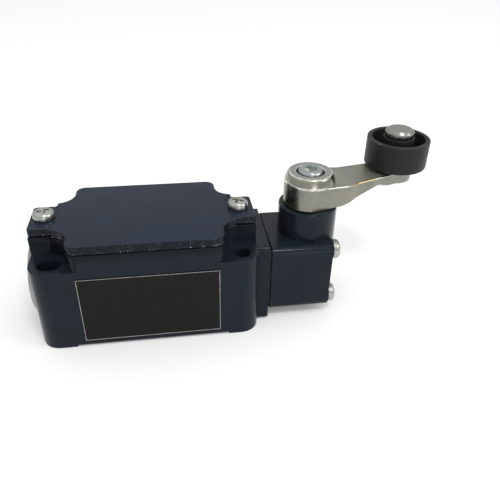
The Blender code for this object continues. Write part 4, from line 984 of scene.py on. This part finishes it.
def make_housing():
    """Housing: enamel outside, painted shade under the cover and in the entry notches, bare inside and on
    the collar.
    """
    low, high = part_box("housing")
    collar_foot = low.x + COLLAR_PROUD
    half_y = high.y - WALL
    looks = ["enamel_seam_painted_shade", "machined", "casting", "enamel_notch_painted_shade"]
    outside, collar, inside, notch = range(len(looks))

    def paint(face):
        centre = face.calc_center_median()
        over_ledge = LEDGE_HEIGHT < centre.z < high.z - WALL_SLACK
        # Notch walls take the darker enamel, a painted shade
        if centre.x < -CAVITY_HALF_X and over_ledge and abs(face.normal.z) < WALL_RISE:
            return outside if abs(centre.x - low.x) < COLLAR_PROUD + WALL_SLACK else notch
        from_axis = math.hypot(centre.y, centre.z - ENTRY_HEIGHT)
        in_bore = from_axis < ENTRY_R + WALL_SLACK and abs(face.normal.x) < SQUARE
        if centre.x < collar_foot - WALL_SLACK or centre.x < -CAVITY_HALF_X - WALL_SLACK and in_bore:
            return collar
        in_cavity = abs(centre.x) < CAVITY_HALF_X + WALL_SLACK and abs(centre.y) < half_y + WALL_SLACK
        over_floor = FLOOR_THICKNESS - WALL_SLACK < centre.z < high.z - WALL_SLACK
        return inside if in_cavity and over_floor else outside

    rounded("housing", HOUSING_ROUNDING, looks, paint, edge_look=OWN_LOOK, least_span=LEAST_RIM)


def make_entry_thread():
    """Thread ridges in the cable entry's bore."""
    outer = ENTRY_R - THREAD_CLEARANCE
    root = outer - THREAD_SKIN
    crest = outer - THREAD_DEPTH
    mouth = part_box("housing")[0].x + THREAD_MOUTH
    count = int((-CAVITY_HALF_X - mouth) / THREAD_PITCH)
    teeth = []
    for index in range(count):
        start = mouth + index * THREAD_PITCH
        teeth += [(root, start), (crest, start + (0.5 - RIDGE_CREST) * THREAD_PITCH),
                  (crest, start + (0.5 + RIDGE_CREST) * THREAD_PITCH)]
    last = mouth + count * THREAD_PITCH
    profile = [(outer, mouth)] + teeth + [(root, last), (outer, last), (outer, mouth)]
    mesh = mesh_from(lathe(profile), "entry_thread", RIDGE_SHARP)
    mesh.transform(Matrix.Translation(ENTRY_AXIS) @ ALONG_X)
    piece = add("entry_thread", mesh, ["machined"])
    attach(piece, "body")


def make_cover():
    """Cover: bluer enamel above as a painted sheen, darker chipped enamel on its edges as painted shade;
    bare below.
    """
    looks = ["enamel_cover_painted_sheen", "enamel_cover_edge_chipped_and_shaded", "casting"]
    top, side, under = range(len(looks))

    def paint(face):
        if face.normal.z < -STRAIGHT and face.calc_center_median().z < COVER_FOOT + END_SLACK:
            return under
        # Sides take the chipped enamel with painted shade; the top takes the bluer painted sheen
        return top if face.normal.z > WALL_RISE else side

    rounded("cover", COVER_ROUNDING, looks, paint, edge_look=side, least_span=LEAST_RIM)


def make_rating_plate():
    """Blank rating plate with a thin pale frame line, which stands proud of the film inside it."""
    bm = copy_of("rating_plate")
    merge_flats(bm)
    front = [face for face in bm.faces if face.normal.y < -STRAIGHT]
    bmesh.ops.inset_region(bm, faces=front, thickness=FRAME_LINE_INSET)
    line = bmesh.ops.inset_region(bm, faces=front, thickness=FRAME_LINE_WIDTH)["faces"]
    step = bmesh.ops.inset_region(bm, faces=front, thickness=FRAME_LINE_RAISE, depth=-FRAME_LINE_RAISE)
    for face in line + step["faces"]:
        face.material_index = 1
    mesh = mesh_from(bm, "rating_plate_finish")
    mesh.shade_flat()
    show("rating_plate", mesh, ["plate", "plate_line"])


def make_lever():
    """Lever arm, with the bends between its hub and its eye drawn out into curves."""
    low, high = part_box("lever_arm")
    hub_edge = low.z + HUB_HEIGHT
    hub = HUB_MIDDLE.xy
    eye = middle_of("roller_pin").xy
    # Lit copies of one plating: painted light on the top, painted highlights on the shoulder and edges
    looks = ["lever", "lever_edge_painted_highlight", "lever_top_painted_light", "lever_ring", "lever_shoulder_painted_highlight"]
    side, outline, top, ring, shoulder = range(len(looks))

    def is_upright(edge):
        return abs((edge.verts[1].co - edge.verts[0].co).normalized().z) > STRAIGHT

    def is_bend(edge):
        middle = (edge.verts[0].co + edge.verts[1].co).xy / 2
        on_arm = (middle - hub).length > HUB_R and (middle - eye).length > EYE_R
        return on_arm and is_upright(edge) and LEAST_BEND < edge.calc_face_angle() < SHARP

    def draw_out_bends(bm):
        bends = [edge for edge in bm.edges if len(edge.link_faces) == 2 and is_bend(edge)]
        bmesh.ops.bevel(bm, geom=bends, offset=BEND_REACH, segments=BEND_SEGMENTS, profile=0.5,
                        affect="EDGES", clamp_overlap=True)

    def is_crease(edge):
        if edge.calc_face_angle() < LEAST_CREASE:
            return False
        on_hub_edge = all(abs(vert.co.z - hub_edge) < EDGE_SLACK for vert in edge.verts)
        return is_upright(edge) or on_hub_edge

    def share(edge):
        rises = [face.normal.z for face in edge.link_faces]
        if edge.calc_face_angle_signed() > SHARP and max(rises) > LEVEL:
            return EVEN_ROOM
        under_lip = all(LIP_LOW < hub_edge - vert.co.z < LIP_HIGH for vert in edge.verts)
        return 0.0 if under_lip and min(rises) < -LEVEL else None

    def paint(face):
        # Faces pick their copy of the plating by which way they face: top lighter, shoulder lighter still
        if face.normal.z < TOP_RISE:
            return shoulder if face.normal.z > SHOULDER_RISE else side
        return ring if face.calc_center_median().z > high.z - END_SLACK else top

    rounded("lever_arm", LEVER_ROUNDING, looks, paint, edge_look=outline, prepare=draw_out_bends,
            also=is_crease, share=share)


def make_lever_screw():
    """Socket-head screw in the lever's hub."""
    low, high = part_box("lever_screw")
    head_r = (high.x - low.x) / 2
    head = LEVER_SCREW_HEAD
    shank = LEVER_SCREW_SHANK_R
    seat = high.z - head
    tip = low.z - seat
    outline = [(0, head), (head_r - LEVER_SCREW_BEVEL_IN, head), (head_r, head - LEVER_SCREW_BEVEL_DOWN),
               (head_r, 0), (shank, 0)]
    dome = softened(outline, LEVER_SCREW_SOFTNESS)
    thread = ridges(shank, tip + LEVER_SCREW_TIP, -LEVER_SCREW_THREAD_START, LEVER_SCREW_PITCH,
                    LEVER_SCREW_THREAD_DEPTH)
    profile = dome + [(shank, -LEVER_SCREW_NECK)] + thread + [(shank - LEVER_SCREW_TIP, tip), (0, tip)]
    mesh = mesh_from(lathe(profile, SMALL_ROUND), "lever_screw")
    socket = polygon(6, SOCKET_ACROSS_FLATS)
    mesh = cut(mesh, tapered(socket, head - SOCKET_DEPTH, head + MM, SOCKET_TAPER))
    mouth = polygon(LEAD_IN_SIDES, LEAD_IN_WIDTH * SOCKET_ACROSS_FLATS)
    mesh = cut(mesh, tapered(mouth, head - LEAD_IN_DEPTH, head + LEAD_IN_DEPTH, LEAD_IN_TAPER))
    for face in mesh.polygons:
        near_axis = face.center.xy.length < SOCKET_REACH * SOCKET_ACROSS_FLATS
        face.material_index = 1 if near_axis and 0 < face.center.z < head - EDGE_SLACK else 0
    place = Matrix.Translation((*middle_of("lever_screw").xy, seat))
    mesh.transform(place @ Matrix.Rotation(LEVER_SCREW_TURN, 4, "Z"))
    show("lever_screw", mesh, ["zinc_blue", "zinc_green"])


def make_lever_washer():
    """Toothed washer under the lever's screw."""
    outer, thick = round_size("lever_washer")
    count = 2 * WASHER_TEETH
    bm = bmesh.new()
    rings = []
    for height in (0, thick):
        for radii in ((WASHER_BORE_R, WASHER_BORE_R), (outer, outer - WASHER_TOOTH)):
            ring = []
            for index in range(count):
                angle = math.tau * index / count
                radius = radii[index % 2]
                ring.append(bm.verts.new((radius * math.cos(angle), radius * math.sin(angle), height)))
            rings.append(ring)
    bore_foot, rim_foot, bore_top, rim_top = rings
    sides = ((bore_foot, rim_foot), (bore_top, rim_top), (bore_foot, bore_top), (rim_foot, rim_top))
    for first, second in sides:
        for index in range(count):
            after = (index + 1) % count
            bm.faces.new((first[index], first[after], second[after], second[index]))
    show_on_axis("lever_washer", bm, middle_of("lever_screw"), ["steel"], RIDGE_SHARP)


def make_roller():
    """Roller with its hollow face and a worn rim, whose paler edge is also a painted highlight."""
    radius, hub_top = round_size("roller")
    rim_top = hub_top - ROLLER_HUB_PROUD
    rim = radius - ROLLER_RIM
    outline = [(ROLLER_BORE_R, 0), (ROLLER_BORE_R, hub_top), (ROLLER_HUB_R, hub_top),
               (ROLLER_HUB_R + ROLLER_HUB_DRAFT, ROLLER_WEB), (rim - ROLLER_RIM_DRAFT, ROLLER_WEB),
               (rim, rim_top), (radius, rim_top), (radius, ROLLER_BEVEL_UP), (radius - ROLLER_BEVEL_IN, 0),
               (ROLLER_BORE_R, 0)]
    bm = lathe(softened(outline, ROLLER_SOFTNESS))
    for face in bm.faces:
        centre = face.calc_center_median()
        # Faces at the rim's top edge take the paler look, partly a painted highlight
        rubbed_and_highlit = centre.z > rim_top - RUBBED_HIGHLIT_DOWN and centre.xy.length > radius - RUBBED_HIGHLIT_IN
        face.material_index = 1 if rubbed_and_highlit else 0
    show_on_axis("roller", bm, middle_of("roller"), ["roller", "roller_edge_worn_and_highlit"], ROLLER_SHARP)


def make_roller_pin():
    """Rivet pin that the roller turns on, with a flat bevelled head."""
    head_r, top = round_size("roller_pin")
    seat = top - PIN_HEAD
    outline = [(0, top), (head_r - PIN_BEVEL, top), (head_r, top - PIN_BEVEL), (head_r, seat),
               (PIN_R, seat), (PIN_R, PIN_FOOT), (PIN_FOOT_R, PIN_FOOT)]
    outline += [(across * PIN_FOOT_R, up * PIN_FOOT) for across, up in PIN_END]
    bm = lathe(softened(outline, PIN_SOFTNESS))
    show_on_axis("roller_pin", bm, middle_of("roller"), ["zinc_warm"], SHARP)


def make_roller_washer():
    """Plain washer under the roller."""
    outer, thick = round_size("roller_washer")
    outline = [(ROLLER_BORE_R, 0), (ROLLER_BORE_R, thick), (outer, thick), (outer, 0), (ROLLER_BORE_R, 0)]
    bm = lathe(softened(outline, ROLLER_WASHER_SOFTNESS), SMALL_ROUND)
    show_on_axis("roller_washer", bm, middle_of("roller"), ["steel"])


def make_insert():
    """Switch insert and terminals, seen when the cover is off."""
    rounded("contact_base", INSERT_ROUNDING)
    rounded("contact_lid", INSERT_ROUNDING)
    rounded("contact_carrier", CARRIER_ROUNDING)
    for contact, clamp in zip(numbered("fixed_contact", 4), numbered("terminal_clamp", 4)):
        rounded(contact, CONTACT_ROUNDING, segments=SMALL_SEGMENTS)
        rounded(clamp, CLAMP_ROUNDING, segments=SMALL_SEGMENTS)
    rounded("earth_clamp", CLAMP_ROUNDING, segments=SMALL_SEGMENTS)


def make_spring(node, fixed_end):
    """A spring along X, a smooth copy of its solid in place of the node; fixed_end is not used."""
    low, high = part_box(node)
    mesh = mesh_from(copy_of(node), f"{node}_finish", COIL_SHARP)
    piece = add(f"{node}_finish", mesh, [slot_look(node)])
    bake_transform(piece)
    stand_for(node)


def make_springs():
    """The springs that the plunger's slide presses."""
    for joint in BEHAVIOUR["joints"]:
        for row in joint.get("deforming_nodes", []):
            make_spring(row["node"], row["fixed_end_x_m"])


def finish_other_nodes():
    """The rest of the solids keep their shape and take their finish."""
    for node, solid in frame["nodes"].items():
        if solid.hide_render:
            continue
        solid.data.materials.clear()
        solid.data.materials.append(LOOKS[slot_look(node)])


def facing(direction):
    """The turn that points a camera's or a light's back along a direction."""
    return direction.to_track_quat("Z", "Y").to_matrix().to_4x4()


def make_camera():
    """Camera at the photograph's viewing angle."""
    level = math.cos(CAMERA_ELEVATION)
    across = math.sin(CAMERA_AZIMUTH) * level
    away = math.cos(CAMERA_AZIMUTH) * level
    back = Vector((across, -away, math.sin(CAMERA_ELEVATION)))
    data = bpy.data.cameras.new("camera")
    data.lens = CAMERA_LENS
    data.sensor_width = CAMERA_SENSOR
    data.clip_start = CAMERA_NEAR
    camera = new_object("camera", data)
    turn = facing(back) @ Matrix.Rotation(CAMERA_ROLL, 4, "Z")
    camera.matrix_world = Matrix.Translation(CAMERA_TARGET + CAMERA_DISTANCE * back) @ turn
    bpy.context.scene.camera = camera


def make_floor():
    """Plain pale floor, a little brighter where it is seen than where it lights the part."""
    bm = bmesh.new()
    bmesh.ops.create_grid(bm, x_segments=1, y_segments=1, size=FLOOR_SIZE / 2)
    bmesh.ops.translate(bm, vec=(0, 0, -FLOOR_DROP), verts=bm.verts)
    mesh = bpy.data.meshes.new("floor")
    bm.to_mesh(mesh)
    bm.free()
    new_object("floor", mesh)
    look = Look("floor", Roughness=FLOOR_ROUGHNESS, Specular_IOR_Level=0.0, Emission_Color=WHITE)
    look.colour(FLOOR_COLOUR)
    seen = look.nodes.new("ShaderNodeLightPath")
    lit = look.math("MAXIMUM", seen.outputs["Is Camera Ray"], seen.outputs["Is Glossy Ray"])
    lit = look.math("MAXIMUM", lit, seen.outputs["Is Transmission Ray"])
    look.feed(look.shader.inputs["Emission Strength"], look.math("MULTIPLY", lit, FLOOR_LIFT))
    mesh.materials.append(look.material)


def make_sky():
    """Soft sky that is brighter overhead."""
    world = bpy.data.worlds.new("sky")
    world.use_nodes = True
    nodes = world.node_tree.nodes
    links = world.node_tree.links
    background = nodes["Background"]
    background.inputs["Color"].default_value = WHITE
    split = nodes.new("ShaderNodeSeparateXYZ")
    links.new(nodes.new("ShaderNodeTexCoord").outputs["Generated"], split.inputs["Vector"])
    rise = nodes.new("ShaderNodeMapRange")
    rise.interpolation_type = "SMOOTHSTEP"
    links.new(split.outputs["Z"], rise.inputs["Value"])
    rise.inputs["From Max"].default_value = SKY_TOP
    rise.inputs["To Min"].default_value = SKY_LOW
    rise.inputs["To Max"].default_value = SKY_HIGH
    links.new(rise.outputs["Result"], background.inputs["Strength"])
    bpy.context.scene.world = world


def make_lights():
    """Soft square lights, each aimed at a point."""
    for name, place, aim, width, power in SOFTBOXES:
        data = bpy.data.lights.new(name, "AREA")
        data.size = width
        data.energy = power
        light = new_object(name, data)
        light.matrix_world = Matrix.Translation(place) @ facing(Vector(place) - Vector(aim))


make_camera()
make_floor()
make_sky()
make_lights()
bpy.context.scene.view_settings.view_transform = "Standard"

make_housing()
make_entry_thread()
make_cover()
make_rating_plate()
# Head: rounded edges worn paler, the paler colour also a painted highlight
rounded("head", HEAD_ROUNDING, ["enamel", "enamel_head_edge_worn_and_highlit"], least_span=LEAST_LUG)
rounded("cover_gasket", GASKET_ROUNDING)
rounded("head_gasket", GASKET_ROUNDING)
place_screws(numbered("cover_screw", 2), M4, "zinc")
place_screws(numbered("head_screw", 4), M4, "zinc", along_x=True)
place_screws(numbered("terminal_screw", 4), M3, "zinc")
place_screws(numbered("insert_screw", 2), M25, "zinc")
place_screws(["earth_screw"], M4, "brass")
make_lever()
make_lever_screw()
make_lever_washer()
make_roller()
make_roller_pin()
make_roller_washer()
make_insert()
make_springs()
finish_other_nodes()
